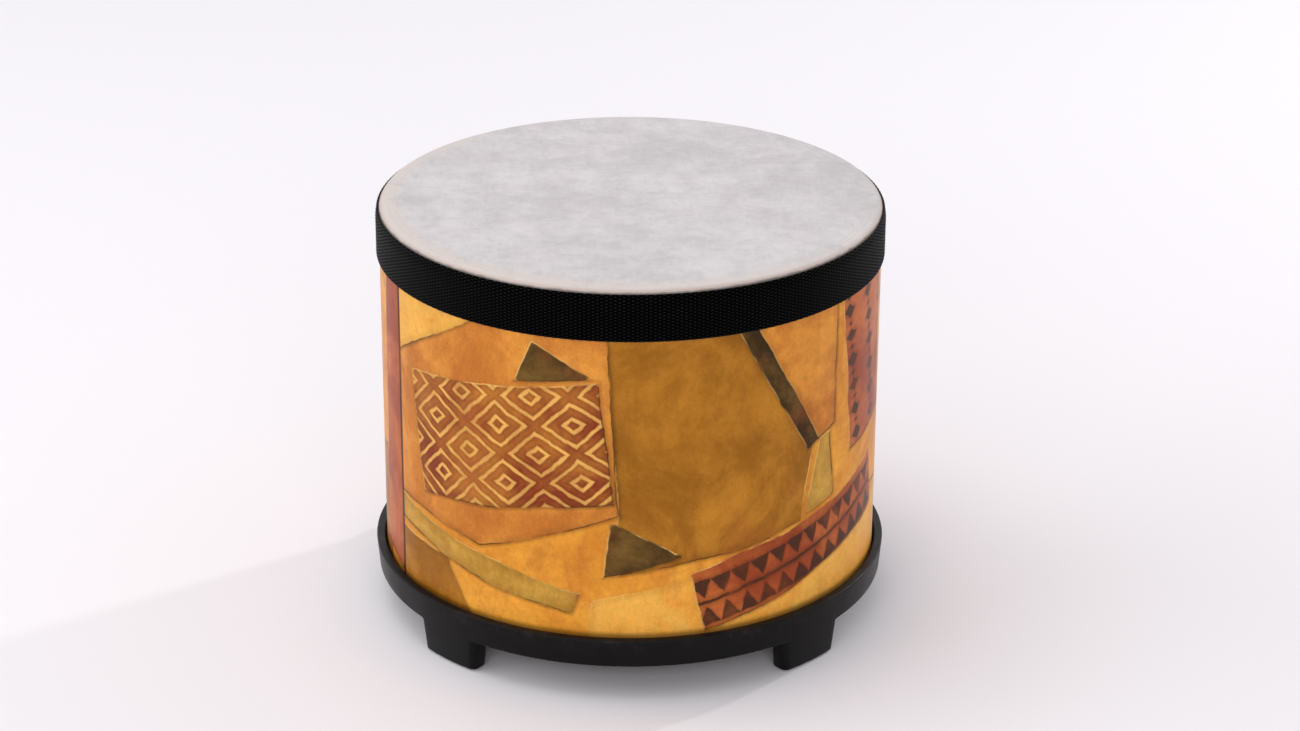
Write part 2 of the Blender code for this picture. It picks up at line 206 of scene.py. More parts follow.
class Finish:
    """A Principled material; uniform holds the numbers that are the same all over the surface."""

    def __init__(self, name, uniform):
        self.material = bpy.data.materials.new(name)
        self.material.use_nodes = True
        self.tree = self.material.node_tree
        self.shader = self.tree.nodes["Principled BSDF"]
        for socket, value in uniform.items():
            self.shader.inputs[socket].default_value = value

    def node(self, kind, **settings):
        """A new node of the material, with its settings."""
        made = self.tree.nodes.new(kind)
        for name, value in settings.items():
            setattr(made, name, value)
        return made

    def join(self, value, socket):
        """Links a value or a socket into a socket, or writes a plain number or colour there."""
        value = getattr(value, "socket", value)
        if isinstance(value, bpy.types.NodeSocket):
            self.tree.links.new(value, socket)
        else:
            socket.default_value = value

    def place(self):
        """The point's own place on the object, in metres."""
        return self.node("ShaderNodeTexCoord").outputs["Object"]

    def flat_place(self, name):
        """The point's place on a flat map of the piece, in metres."""
        return self.node("ShaderNodeUVMap", uv_map=name).outputs["UV"]

    def turned_place(self, vector, origin, angle):
        """The same place counted from an origin, along axes turned by an angle."""
        node = self.node("ShaderNodeMapping", vector_type="TEXTURE")
        self.join(vector, node.inputs["Vector"])
        node.inputs["Location"].default_value = (*origin, 0.0)
        node.inputs["Rotation"].default_value = (0.0, 0.0, angle)
        return node.outputs["Vector"]

    def stretched(self, vector, scale):
        """The place multiplied along each axis, so that a noise on it is drawn out."""
        node = self.node("ShaderNodeVectorMath", operation="MULTIPLY")
        self.join(vector, node.inputs[0])
        node.inputs[1].default_value = scale
        return node.outputs["Vector"]

    def parts(self, vector):
        """The three numbers of a place or a direction."""
        node = self.node("ShaderNodeSeparateXYZ")
        self.join(vector, node.inputs[0])
        return [Value(self, socket) for socket in node.outputs]

    def noise(self, vector, grain, detail=3.0, roughness=0.55, twist=0.0, as_vector=False, seed=0.0):
        """Cloudy noise from 0 to 1, its blotches about one grain across."""
        node = self.node("ShaderNodeTexNoise", noise_dimensions="4D")
        self.join(vector, node.inputs["Vector"])
        node.inputs["W"].default_value = seed
        node.inputs["Scale"].default_value = 1 / grain
        node.inputs["Detail"].default_value = detail
        node.inputs["Roughness"].default_value = roughness
        node.inputs["Distortion"].default_value = twist
        return node.outputs["Color"] if as_vector else Value(self, node.outputs["Fac"])

    def attribute(self, name):
        """A number stored at the mesh's points."""
        return Value(self, self.node("ShaderNodeAttribute", attribute_name=name).outputs["Fac"])

    def blend(self, share, low, high, kind="MIX"):
        """The colour low where share is 0 and high where it is 1."""
        node = self.node("ShaderNodeMix", data_type="RGBA", blend_type=kind)
        self.join(share, node.inputs[MIX_SHARE])
        self.join(low, node.inputs[MIX_LOW])
        self.join(high, node.inputs[MIX_HIGH])
        return node.outputs[MIX_RESULT]

    def shade(self, colour, dark):
        """The colour with a share of its light taken away."""
        return self.blend(dark, colour, BLACK)

    def relief(self, height, depth):
        """Fine relief, too small for the mesh: a height of 1 stands one depth above the surface."""
        node = self.node("ShaderNodeBump")
        node.inputs["Distance"].default_value = depth
        self.join(height, node.inputs["Height"])
        self.join(node.outputs["Normal"], self.shader.inputs["Normal"])

    def colour(self, colour):
        """Gives the surface its colour."""
        self.join(colour, self.shader.inputs["Base Color"])

    def roughness(self, value):
        """Gives the surface its roughness, 0 for a mirror and 1 for chalk."""
        self.join(value, self.shader.inputs["Roughness"])


print("a noise varies about", NOISE_MIDDLE)

# %% [markdown]
# ## Floor and sky
# The drum stands on a pale seamless sweep, of which one large level square is enough here. The sky round it
# gives a moderate light of its own. A camera or a mirror sees it brighter than that, which keeps the
# background nearly white without more light on the drum.

# %% Floor and sky
FLOOR_SIDE = 14.0
FLOOR_COLOUR = paint(246, 243, 246)
SKY_COLOUR = paint(250, 249, 253)
SKY_LIGHT = 0.53
SKY_SEEN = 0.93


def add_floor():
    """One large square on z = 0 with a plain pale finish."""
    half = FLOOR_SIDE / 2
    corners = [(-half, -half, 0.0), (half, -half, 0.0), (half, half, 0.0), (-half, half, 0.0)]
    mesh = bpy.data.meshes.new("floor")
    mesh.from_pydata(corners, [], [(0, 1, 2, 3)])
    finish = Finish("pale_sweep", {"Roughness": 0.7, "Specular IOR Level": 0.1})
    finish.colour(FLOOR_COLOUR)
    mesh.materials.append(finish.material)
    floor = bpy.data.objects.new("floor", mesh)
    bpy.context.scene.collection.objects.link(floor)


def add_sky():
    """A pale sky: SKY_LIGHT is what it gives, SKY_SEEN is how bright the camera and mirrors find it."""
    world = bpy.data.worlds.new("pale_sky")
    bpy.context.scene.world = world
    world.use_nodes = True
    nodes, links = world.node_tree.nodes, world.node_tree.links
    path = nodes.new("ShaderNodeLightPath")
    seen = path.outputs["Is Camera Ray"]
    for name in ("Is Glossy Ray", "Is Transmission Ray"):
        either = nodes.new("ShaderNodeMath")
        either.operation = "MAXIMUM"
        links.new(seen, either.inputs[0])
        links.new(path.outputs[name], either.inputs[1])
        seen = either.outputs[0]
    strength = nodes.new("ShaderNodeMapRange")
    strength.inputs["To Min"].default_value = SKY_LIGHT
    strength.inputs["To Max"].default_value = SKY_SEEN
    links.new(seen, strength.inputs["Value"])
    nodes["Background"].inputs["Color"].default_value = SKY_COLOUR
    links.new(strength.outputs["Result"], nodes["Background"].inputs["Strength"])


add_floor()
add_sky()
print("a floor of", FLOOR_SIDE, "m under a sky of", SKY_LIGHT)

# %% [markdown]
# ## Lamps
# The soft box overhead lights the head, the long one on the left gives the broad soft shadow on the right,
# and the one in front keeps the wrap bright. A small lamp behind on the right draws the faint, clear-edged
# shadow towards the front left: the smaller a lamp is, the sharper its shadow. The lamps and the sky
# together give a level surface about as much light as a colour needs to render as it is written, so no
# exposure is touched.

# %% Lamps
# Each lamp: its name, its place in metres, its width and height in metres, and its power in watts.
LAMPS = [
    ("overhead_box", (-0.8, 0.5, 3.0), (2.6, 2.2), 26.0),
    ("left_box", (-2.1, -0.15, 1.45), (2.8, 1.3), 18.0),
    ("front_box", (-0.2, -3.0, 1.4), (3.0, 1.3), 32.0),
    ("back_lamp", (1.445, 1.17, 1.06), (0.09, 0.09), 8.7),
]
LAMP_AIM = Vector((0.0, 0.0, 0.1))


def add_lamp(name, place, size, power):
    """A soft rectangular lamp that faces the drum."""
    lamp = bpy.data.lights.new(name, "AREA")
    lamp.shape = "RECTANGLE"
    lamp.size, lamp.size_y = size
    lamp.energy = power
    stand = bpy.data.objects.new(name, lamp)
    stand.location = place
    stand.rotation_euler = (LAMP_AIM - Vector(place)).to_track_quat("-Z", "Y").to_euler()
    stand.visible_camera = False
    bpy.context.scene.collection.objects.link(stand)


for lamp in LAMPS:
    add_lamp(*lamp)
print(len(LAMPS), "lamps")

# %% [markdown]
# ## Surfaces from grids of points
# Each new piece is a grid of points worked out by numpy as one array, and its quads follow from the grid's
# own numbering. A grid that closes on itself simply repeats its first row or column in that numbering. Rows
# that shrink to one point, such as the middle of the head, are welded afterwards, which closes poles and
# seams.

# %% Grid to mesh
WELD = 0.001 * MM


def polar(angle, radius, height):
    """Points at angles from the front, radii and heights, as an array with a last axis of x, y, z."""
    angle, radius, height = np.broadcast_arrays(angle, radius, height)
    return np.stack([radius * np.sin(angle), -radius * np.cos(angle), height], axis=-1)


def corners_of(grid):
    """The four corners of every cell of a grid, counter-clockwise as seen from outside."""
    return np.stack([grid[:-1, :-1], grid[:-1, 1:], grid[1:, 1:], grid[1:, :-1]], axis=2)


def weld(mesh):
    """Merges points that meet, which closes poles, seams and the hair cracks that a cut leaves."""
    body = bmesh.new()
    body.from_mesh(mesh)
    bmesh.ops.remove_doubles(body, verts=body.verts, dist=WELD)
    bmesh.ops.dissolve_degenerate(body, edges=body.edges, dist=WELD)
    body.to_mesh(mesh)
    body.free()
    return mesh


def skin(name, points, close_rows=False, close_columns=False, cap_columns=False, maps=None, marks=None):
    """A mesh over a grid of points with rows, columns and x, y, z.

    Faces point outwards where columns run to the right and rows run up, seen from outside. Closing joins
    the last row or column to the first, and capping puts one face over each open end. maps are flat maps
    given at the grid's points, and marks are single numbers stored there.
    """
    rows, columns = points.shape[:2]
    number = np.arange(rows * columns).reshape(rows, columns)
    closing = ((0, int(close_rows)), (0, int(close_columns)))
    number = np.pad(number, closing, mode="wrap")
    faces = corners_of(number).reshape(-1, 4).tolist()
    if cap_columns:
        faces += [number[:rows, 0].tolist(), number[:rows, -1][::-1].tolist()]
    mesh = bpy.data.meshes.new(name)
    mesh.from_pydata(points.reshape(-1, 3).tolist(), [], faces)
    for title, values in (maps or {}).items():
        flat = np.zeros((len(mesh.loops), 2), np.float32)
        inner = corners_of(np.pad(values, (*closing, (0, 0)), mode="wrap")).reshape(-1, 2)
        flat[: len(inner)] = inner
        mesh.uv_layers.new(name=title).data.foreach_set("uv", flat.ravel())
    for title, values in (marks or {}).items():
        stored = mesh.attributes.new(title, "FLOAT", "POINT")
        stored.data.foreach_set("value", values.ravel().astype(np.float32))
    return weld(mesh)


print("points closer than", WELD / MM, "mm are welded")

# %% [markdown]
# Round pieces are profiles of radius and height, carried once round the axis. Every finished mesh then
# becomes a piece in the same way: smooth shading with sharp edges kept, one finish, the drum's only body to
# ride on, and the CAD node that it stands for.

# %% Turned profiles and finished pieces
SHARP_DEG = 35


def arc(centre_radius, centre_height, radius, start_deg, end_deg, steps):
    """Profile points (radius, height) along an arc; 0 degrees points outwards and 90 up."""
    turn = np.radians(np.linspace(start_deg, end_deg, steps + 1))
    return np.stack([centre_radius + radius * np.cos(turn), centre_height + radius * np.sin(turn)], axis=1)


def full_turn(steps):
    """Even angles once round; the end is left off because it is the start again."""
    return np.linspace(0, 2 * np.pi, steps, endpoint=False)


def turned(name, profile, steps):
    """A profile of (radius, height) turned about Z; it runs up its outer side, so that faces point out."""
    points = polar(full_turn(steps)[None, :], profile[:, :1], profile[:, 1:])
    return skin(name, points, close_columns=True)


def put_on(name, mesh, node, finish, sharp_deg=SHARP_DEG):
    """Makes the mesh a piece that stands for one CAD node and rides on the drum's only body."""
    mesh.shade_smooth()
    mesh.set_sharp_from_angle(angle=math.radians(sharp_deg))
    mesh.materials.clear()
    mesh.materials.append(finish.material)
    piece = bpy.data.objects.new(name, mesh)
    bpy.context.scene.collection.objects.link(piece)
    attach(piece, "root")
    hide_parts(node)
    print(name, "has", len(mesh.polygons), "faces")
    return piece


print("edges sharper than", SHARP_DEG, "degrees stay sharp")

# %% [markdown]
# ## Film head
# The head is a thin film with a soft, mottled coating, moulded to a flat disc with a bend over the tube's
# edge and a collar down its side. It could be a lathe profile with a Screw modifier, but a turned grid gives
# the bend as many steps as it needs. The profile runs out under the film, down inside the collar, up outside
# it and back to the axis.

# %% Film head surface
FILM_THICKNESS = 0.4 * MM
BEARING_ROUND = 3.0 * MM
SEAT_GAP = 0.3 * MM
TURN_STEPS = 288
BEND_STEPS = 10
DISC_STEPS = 24
film_inside = collar_radius - FILM_THICKNESS
film_under = head_top - FILM_THICKNESS
bend_inner = BEARING_ROUND + SEAT_GAP
bend_outer = bend_inner + FILM_THICKNESS
bend_radius = collar_radius - bend_outer
bend_height = head_top - bend_outer

disc = np.linspace(0, bend_radius, DISC_STEPS, endpoint=False)[:, None]
head_profile = np.concatenate([
    np.hstack([disc, np.full_like(disc, film_under)]),
    arc(bend_radius, bend_height, bend_inner, 90, 0, BEND_STEPS),
    [(film_inside, collar_bottom), (collar_radius, collar_bottom)],
    arc(bend_radius, bend_height, bend_outer, 0, 90, BEND_STEPS),
    np.hstack([disc[::-1], np.full_like(disc, head_top)]),
])
head_mesh = turned("film_head", head_profile, TURN_STEPS)
print("the film bends over an edge of", in_mm(bend_outer), "mm radius")

# %% [markdown]
# The coating is a pale warm grey with soft clouds from 70 mm down to a few millimetres, some of them a
# little pinker, short brushed fibres in no one direction and a very fine tooth. Near the edge the tan tube
# lies right under the film and shows through it as an uneven cream ring, widest at the front left, where the
# film lies closest. The bend over the edge is painted darker, partly as the tan showing through and partly
# as painted shade where the bend turns away from the light, and a line of painted shade darkens the film in
# the corner along the tape. The clouds come from noises at several scales, the ring from the distance to the
# axis, and both painted shades from the height.

# %% Film head colours and spans
FILM_LIGHT = paint(217, 213, 213)
FILM_DARK = paint(190, 186, 186)
FILM_PINK = (1.0, 0.965, 0.975, 1.0)
FILM_CREAM = paint(213, 202, 195)
# The bend's colour: partly the tan tube showing through, partly painted shade.
FILM_BEND_TINT_SHADE = paint(198, 183, 174)
CLOUDY = {"detail": 5, "roughness": 0.68, "twist": 0.4}
FINE = {"detail": 4, "roughness": 0.65}
DRAWN_OUT = 0.3
MOTTLE_SHARES = (0.22, 0.32, 0.22, 0.12, 0.12)
MOTTLE_SPAN = (0.38, 0.62)
PINK_SPAN = (0.44, 0.66)
RIM_STARTS = 117.5 * MM
RIM_FULL = 123.0 * MM
RIM_WANDER = 14 * MM
RIM_LEAN = 0.016
RIM_SHOWS = (0.95, 0.35)
PATCH_SPAN = (0.3, 0.6)
PATCH_SHOWS = (0.55, 1.0)
RING_LINES = (119.2 * MM, 122.0 * MM)
RING_LINE_WIDTH = 0.8 * MM
RING_LINE_SPAN = (0.45, 0.6)
RING_LINE_SHADE = 0.07
BEND_TINT_SHADE_FULL = 1.2 * MM
BEND_TINT_SHADE_STARTS = 0.1 * MM
# Painted shade in the corner where the film meets the tape:
TAPE_SHADE_HEIGHT = 1.1 * MM
TAPE_SHADE_WANDER = 2 * MM
TAPE_SHADE_DARKNESS = 0.65
TOOTH_SHARES = (0.6, 0.4)
TOOTH_DEPTH = 0.06 * MM
print("the cream ring starts about", in_mm(bend_radius - RIM_STARTS), "mm inside the bend")

# %% Film head finish
def film_finish():
    """Clouds of lighter, darker and pinker grey, a cream ring by radius, and painted shade at the bend and
    along the tape.
    """
    film = Finish("mottled_film", {"Roughness": 0.6, "Specular IOR Level": 0.3})
    place = film.place()
    broad = film.noise(place, grain=70 * MM, detail=2, seed=9)
    cloud = film.noise(place, grain=20 * MM, **CLOUDY)
    fleck = film.noise(place, grain=9 * MM, seed=3, **CLOUDY)
    along = film.noise(film.stretched(place, (1.0, DRAWN_OUT, 1.0)), grain=2.6 * MM, seed=5, **FINE)
    across = film.noise(film.stretched(place, (DRAWN_OUT, 1.0, 1.0)), grain=2.8 * MM, seed=7, **FINE)
    mottle = mixed((broad, cloud, fleck, along, across), MOTTLE_SHARES)
    colour = film.blend(mottle.step(*MOTTLE_SPAN), FILM_DARK, FILM_LIGHT)
    tint = film.noise(place, grain=28 * MM, seed=11, **FINE)
    colour = film.blend(tint.step(*PINK_SPAN), colour, FILM_PINK, kind="MULTIPLY")
    x, y, z = film.parts(place)
    from_axis = (x * x + y * y).apply("SQRT")
    to_back_right = x + y
    uneven = (cloud + fleck + along - 3 * NOISE_MIDDLE) * RIM_WANDER - to_back_right * RIM_LEAN
    ring = (from_axis + uneven).step(RIM_STARTS, RIM_FULL)
    by_side = to_back_right.step(-collar_radius, collar_radius, *RIM_SHOWS)
    closeness = by_side * fleck.step(*PATCH_SPAN, *PATCH_SHOWS)
    colour = film.blend(ring * closeness, colour, FILM_CREAM)
    for radius in RING_LINES:
        near = (from_axis - radius).size().fade(0.0, RING_LINE_WIDTH)
        colour = film.shade(colour, near * cloud.step(*RING_LINE_SPAN) * RING_LINE_SHADE)
    # Painted shade at the bend, where it turns away from the light, partly the tan tube showing through.
    bend_tint_shade = z.fade(head_top - BEND_TINT_SHADE_FULL, head_top - BEND_TINT_SHADE_STARTS)
    colour = film.blend(bend_tint_shade, colour, FILM_BEND_TINT_SHADE)
    # Painted shade in the corner where the film meets the tape, broken up by a noise.
    tape_shade_level = z - (fleck - NOISE_MIDDLE) * TAPE_SHADE_WANDER
    crevice_shade = tape_shade_level.fade(band_top, band_top + TAPE_SHADE_HEIGHT, TAPE_SHADE_DARKNESS)
    film.colour(film.shade(colour, crevice_shade))
    tooth = film.noise(place, grain=0.7 * MM, detail=2)
    film.relief(mixed((fleck, tooth), TOOTH_SHARES), TOOTH_DEPTH)
    return film


put_on("film_head", head_mesh, "drumhead", film_finish())

# %% [markdown]
# ## A strip wound once round the drum
# The printed wrap and the woven tape are both strips whose outer end is stuck down over the inner end. Both
# follow the same path: the outer end starts on the seam one layer up, eases down along a short ramp and then
# runs round the drum until it lies under its own beginning.

# %% Path of a lapped strip
LAYER_GAP = 0.15 * MM
skin_inside = tube_radius + SEAT_GAP


def smooth_step(low, high, x):
    """0 up to low, 1 from high on, and the cubic 3t2 - 2t3 between."""
    t = np.clip((x - low) / (high - low), 0.0, 1.0)
    return t * t * (3 - 2 * t)


def lapped_path(inside, thickness, lap, ramp, seam_deg, steps):
    """Length along the strip, angle and inside radius at even steps.

    The climb of the outer end is one less a smooth step over the ramp, times one layer and its gap.
    """
    middle = inside + thickness / 2
    along = np.linspace(0, 2 * np.pi * middle + lap, steps + 1)
    climb = (thickness + LAYER_GAP) * (1 - smooth_step(lap, lap + ramp, along))
    return along, math.radians(seam_deg) + along / middle, inside + climb


print("the wrap and the collar lie on a radius of", in_mm(skin_inside), "mm")

# %% [markdown]
# ## Printed wrap
# The wrap is a satin laminate, about a third of a millimetre thick. It could be a bent plane with Solidify,
# but the grid also carries its flat map in metres, which the print is laid out on: u runs from the seam to
# the right, v runs up from the bottom edge. The grid's rows run up the outer face, and two more at the back
# close it.

# %% Wrap surface
WRAP_THICKNESS = 0.35 * MM
WRAP_LAP = 12 * MM
WRAP_RAMP = 10 * MM
WRAP_SEAM_DEG = -63.5
WRAP_STEPS = 480
WRAP_ROWS = 96

wrap_u, wrap_angle, wrap_radius = lapped_path(
    skin_inside, WRAP_THICKNESS, WRAP_LAP, WRAP_RAMP, WRAP_SEAM_DEG, WRAP_STEPS
)
outer_heights = np.linspace(wrap_bottom, wrap_top, WRAP_ROWS)
wrap_heights = np.concatenate([outer_heights, [wrap_top, wrap_bottom]])
wrap_depth = np.concatenate([np.full(WRAP_ROWS, WRAP_THICKNESS), [0.0, 0.0]])
wrap_points = polar(wrap_angle[None, :], wrap_radius[None, :] + wrap_depth[:, None], wrap_heights[:, None])
wrap_v = wrap_heights - wrap_bottom
wrap_uv = np.stack(np.broadcast_arrays(wrap_u[None, :], wrap_v[:, None]), axis=-1)
print("the wrap is", in_mm(wrap_u[-1]), "by", in_mm(wrap_v.max()), "mm when flat")

# %% [markdown]
# ## The print: cut paper in earth colours
# The print looks like painted papers, cut with straight edges and laid over each other. It could be an
# image on the flat map, but papers worked out in the shader stay sharp at any size and need no file. Each
# paper is a convex outline on that map, listed with two colours that its wash varies between and, on some,
# a motif.

# %% Papers
GOLD = (paint(253, 176, 64), paint(226, 142, 46))
BRIGHT_GOLD = (paint(255, 194, 88), paint(252, 172, 66))
AMBER = (paint(243, 162, 66), paint(204, 122, 48))
OLIVE = (paint(202, 134, 42), paint(160, 101, 24))
RUST = (paint(216, 118, 58), paint(166, 74, 38))
EARTH = (paint(212, 134, 54), paint(154, 66, 34))
UMBER = (paint(130, 96, 44), paint(62, 43, 16))
TAN = (paint(232, 180, 80), paint(186, 134, 50))

# Each paper: its colours, its motif or None, and its corners in mm on the flat map, counter-clockwise.
PAPERS = [
    (BRIGHT_GOLD, None, [(118, -6), (336, -6), (336, 46), (206, 50), (122, 30)]),
    (OLIVE, None, [(136, 46), (236, 60), (262, 178), (128, 178)]),
    (GOLD, None, [(232, 58), (336, 50), (336, 178), (252, 178)]),
    (AMBER, None, [(-10, 60), (62, 50), (136, 76), (128, 178), (-10, 178)]),
    (OLIVE, None, [(-10, -6), (64, -6), (40, 36), (-10, 42)]),
    (BRIGHT_GOLD, None, [(-10, 128), (74, 178), (-10, 178)]),
    (TAN, None, [(-10, 46), (112, 22), (116, 34), (-10, 60)]),
    (UMBER, None, [(190, 178), (236, 96), (246, 100), (204, 178)]),
    (AMBER, None, [(201, 178), (244, 99), (258, 104), (256, 178)]),
    (UMBER, None, [(128, 44), (166, 54), (131, 74)]),
    (EARTH, "lozenges", [(22, 66), (134, 82), (125, 146), (13, 130)]),
    (UMBER, None, [(82, 142), (122, 148), (92, 166)]),
    (RUST, "teeth", [(178, 12), (306, 42), (300, 74), (171, 44)]),
    (TAN, None, [(236, 62), (258, 66), (254, 104), (244, 101)]),
    (RUST, "beads", [(272, 84), (320, 92), (312, 178), (262, 178)]),
    (OLIVE, None, [(322, -6), (424, -6), (440, 88), (330, 108)]),
    (AMBER, None, [(470, -6), (566, -6), (584, 120), (486, 178)]),
    (EARTH, "zigzag", [(356, 62), (470, 44), (481, 108), (367, 126)]),
    (BRIGHT_GOLD, None, [(392, 132), (474, 178), (380, 178)]),
    (UMBER, None, [(452, 118), (504, 138), (462, 166)]),
    (TAN, None, [(556, 36), (704, 10), (706, 22), (558, 48)]),
    (OLIVE, None, [(664, -6), (776, -6), (768, 72), (652, 60)]),
    (EARTH, "lozenges", [(540, 74), (652, 88), (644, 146), (532, 132)]),
    (UMBER, None, [(700, 58), (734, 66), (706, 90)]),
    (RUST, "teeth", [(636, 104), (750, 86), (755, 120), (641, 138)]),
    (RUST, None, [(768, 20), (820, 6), (820, 178), (776, 178)]),
]
print(len(PAPERS), "papers on the print")

# %% [markdown]
# In a convex outline, the distance inside it is the least of the distances from its sides. Near any one
# side it rises evenly over the flat map, so storing it at the mesh's points loses almost nothing. The
# shader roughens it a little and cuts the paper's edge, its dark rim and its shadow from it. The painted
# light falls from the upper left, so the nearest side is also marked as lit or in shade.

# %% Distances inside the papers
PRINT_LIGHT = np.array([-0.5, 0.87])


def paper_distances(corners, flat):
    """How far each point lies inside a convex outline, and how its nearest side faces the painted light.

    The first is the least of the distances from the sides, the second runs from -1 (lit) to 1 (in shade).
    """
    start = np.array(corners) * MM
    side = np.roll(start, -1, axis=0) - start
    inward = np.stack([-side[:, 1], side[:, 0]], axis=1) / np.linalg.norm(side, axis=1)[:, None]
    distance = flat @ inward.T - np.sum(start * inward, axis=1)
    return distance.min(axis=-1), (inward @ PRINT_LIGHT)[distance.argmin(axis=-1)]


paper_marks = {}
for number, (*_, corners) in enumerate(PAPERS):
    inside, shaded = paper_distances(corners, wrap_uv)
    paper_marks[f"inside_{number}"] = inside
    paper_marks[f"shaded_{number}"] = shaded
wrap_mesh = skin(
    "printed_wrap", wrap_points, close_rows=True, cap_columns=True,
    maps={"print": wrap_uv}, marks=paper_marks,
)
print(len(paper_marks), "numbers are stored at each of", len(wrap_mesh.vertices), "points")

# %% [markdown]
# ## Motifs
# Some of the rust and earth papers carry simple woven-cloth ornament that many traditions share: nested
# lozenges, rows of teeth, zigzag lines and beads. Each is a formula on the paper's own axes that gives the
# distance from the ink's edge, below zero where the ink is. One such distance draws both the soft line and
# the colour that pools beside it.

# %% Motif formulas
LINE_WIDTH = 1.7 * MM


def tent(x, period):
    """A saw of straight slopes, 0 in the middle of each period and 1 at its ends."""
    return ((x / period).fraction() - 0.5).size() * 2


def lines(distance, spacing):
    """Distance from the edge of evenly spaced lines, which are counted along a distance."""
    return ((distance / spacing).fraction() - 0.5).size() * spacing - LINE_WIDTH / 2


def lozenges(x, y):
    """Lines of equal |x| + |y| in each cell, scaled to the cell's sides: lozenges one inside the other."""
    wide, high = 40 * MM, 30 * MM
    slope = wide * high / math.hypot(wide, high)
    return lines((tent(x, wide) + tent(y, high)) * (slope / 2), slope / 4)


def teeth(x, y):
    """Two rows of triangles, point to point, with a plain line between them."""
    period, high, middle = 11 * MM, 10 * MM, 16 * MM
    row_starts, line_half = 2.4 * MM, 0.9 * MM
    from_middle = (y - middle).size()
    base = from_middle - row_starts
    tooth = (tent(x, period) * high - base).most(base - high)
    return tooth.least(from_middle - line_half)


def zigzag(x, y):
    """Lines that climb and fall by straight slopes along x, repeated along y."""
    period, climb, spacing = 18 * MM, 9 * MM, 8 * MM
    return lines(y + tent(x, period) * climb, spacing)


def beads(x, y):
    """Columns of small filled lozenges with a dot between each two."""
    wide, high = 22 * MM, 14 * MM
    bead_half, dot_half, narrowing = 3.9 * MM, 1.3 * MM, 0.8
    across = tent(x, wide) * (wide / 2)
    bead = across * narrowing + tent(y, high) * (high / 2)
    dot = across * narrowing + (tent(y, high) - 1.0).size() * (high / 2)
    return (bead - bead_half).least(dot - dot_half)


MOTIFS = {"lozenges": lozenges, "teeth": teeth, "zigzag": zigzag, "beads": beads}
DARK_MOTIFS = ("teeth", "beads")
print("motifs:", ", ".join(MOTIFS))

# %% [markdown]
# ## One paper over another
# A paper has its own cloudy wash, a darker pool of colour along its rim, a thin light or dark cut edge and
# a soft shadow on what lies under it. All but the wash are read from the distance inside its outline. The
# ink of a motif is drawn in lines that wear thin here and there.

# %% Laying a paper
EDGE_LIGHT = paint(246, 190, 106)
EDGE_DARK = paint(84, 54, 22)
MOTIF_LIGHT = paint(252, 190, 98)
MOTIF_DARK = paint(78, 46, 30)
WASH_SPAN = (0.36, 0.62)
POOL_WIDTH = 3.2 * MM
POOL_SHADE = 0.28
LINE_SOFT = 0.9 * MM
INK_SPAN = (-0.6, 1.0)
INK_COVERS = (0.55, 0.95)
PAPER_RIM_WIDTH = 5 * MM
PAPER_RIM_SHADE = 0.15
FACING_SPAN = (-0.3, 0.3)
CUT_SPAN = (0.3 * MM, 1.0 * MM)
CUT_COVERS = 0.9
SHADOW_FACING = (-0.4, 0.6)
SHADOW_SHADES = (0.06, 0.45)
SHADOW_SPAN = (-2.2 * MM, 0.2 * MM)
OUTLINE_SOFT = 0.15 * MM


def wash(finish, place, colours, seed):
    """A cloudy mixture of two colours, in broad blotches with finer ones in them."""
    cloud = finish.noise(place, grain=48 * MM, detail=8, roughness=0.66, twist=0.5, seed=seed)
    return finish.blend(cloud.step(*WASH_SPAN), *colours)


def paper_angle(corners):
    """The direction of a paper's first side on the flat map."""
    (x0, y0), (x1, y1) = corners[:2]
    return math.atan2(y1 - y0, x1 - x0)


def lay_paper(finish, below, number, place, shaken, tremble, broken):
    """The colour after one paper is laid on the colours below it."""
    colours, motif, corners = PAPERS[number]
    inside = finish.attribute(f"inside_{number}") + tremble
    shaded = finish.attribute(f"shaded_{number}")
    colour = wash(finish, place, colours, seed=number + 1.0)
    if motif:
        origin = (corners[0][0] * MM, corners[0][1] * MM)
        x, y = finish.parts(finish.turned_place(shaken, origin, paper_angle(corners)))[:2]
        ink = MOTIF_DARK if motif in DARK_MOTIFS else MOTIF_LIGHT
        from_ink = MOTIFS[motif](x, y)
        colour = finish.shade(colour, from_ink.fade(0.0, POOL_WIDTH, POOL_SHADE))
        drawn = from_ink.fade(-LINE_SOFT / 2, LINE_SOFT / 2)
        colour = finish.blend(drawn * broken.step(*INK_SPAN, *INK_COVERS), colour, ink)
    colour = finish.shade(colour, inside.fade(0.0, PAPER_RIM_WIDTH, PAPER_RIM_SHADE))
    edge = finish.blend(shaded.step(*FACING_SPAN), EDGE_LIGHT, EDGE_DARK)
    cut = inside.fade(*CUT_SPAN, CUT_COVERS)
    colour = finish.blend(cut * broken, colour, edge)
    shadow = shaded.step(*SHADOW_FACING, *SHADOW_SHADES) * inside.step(*SHADOW_SPAN)
    below = finish.shade(below, shadow)
    return finish.blend(inside.step(-OUTLINE_SOFT, OUTLINE_SOFT), below, colour)


print("a paper's shadow is", in_mm(-SHADOW_SPAN[0]), "mm wide")
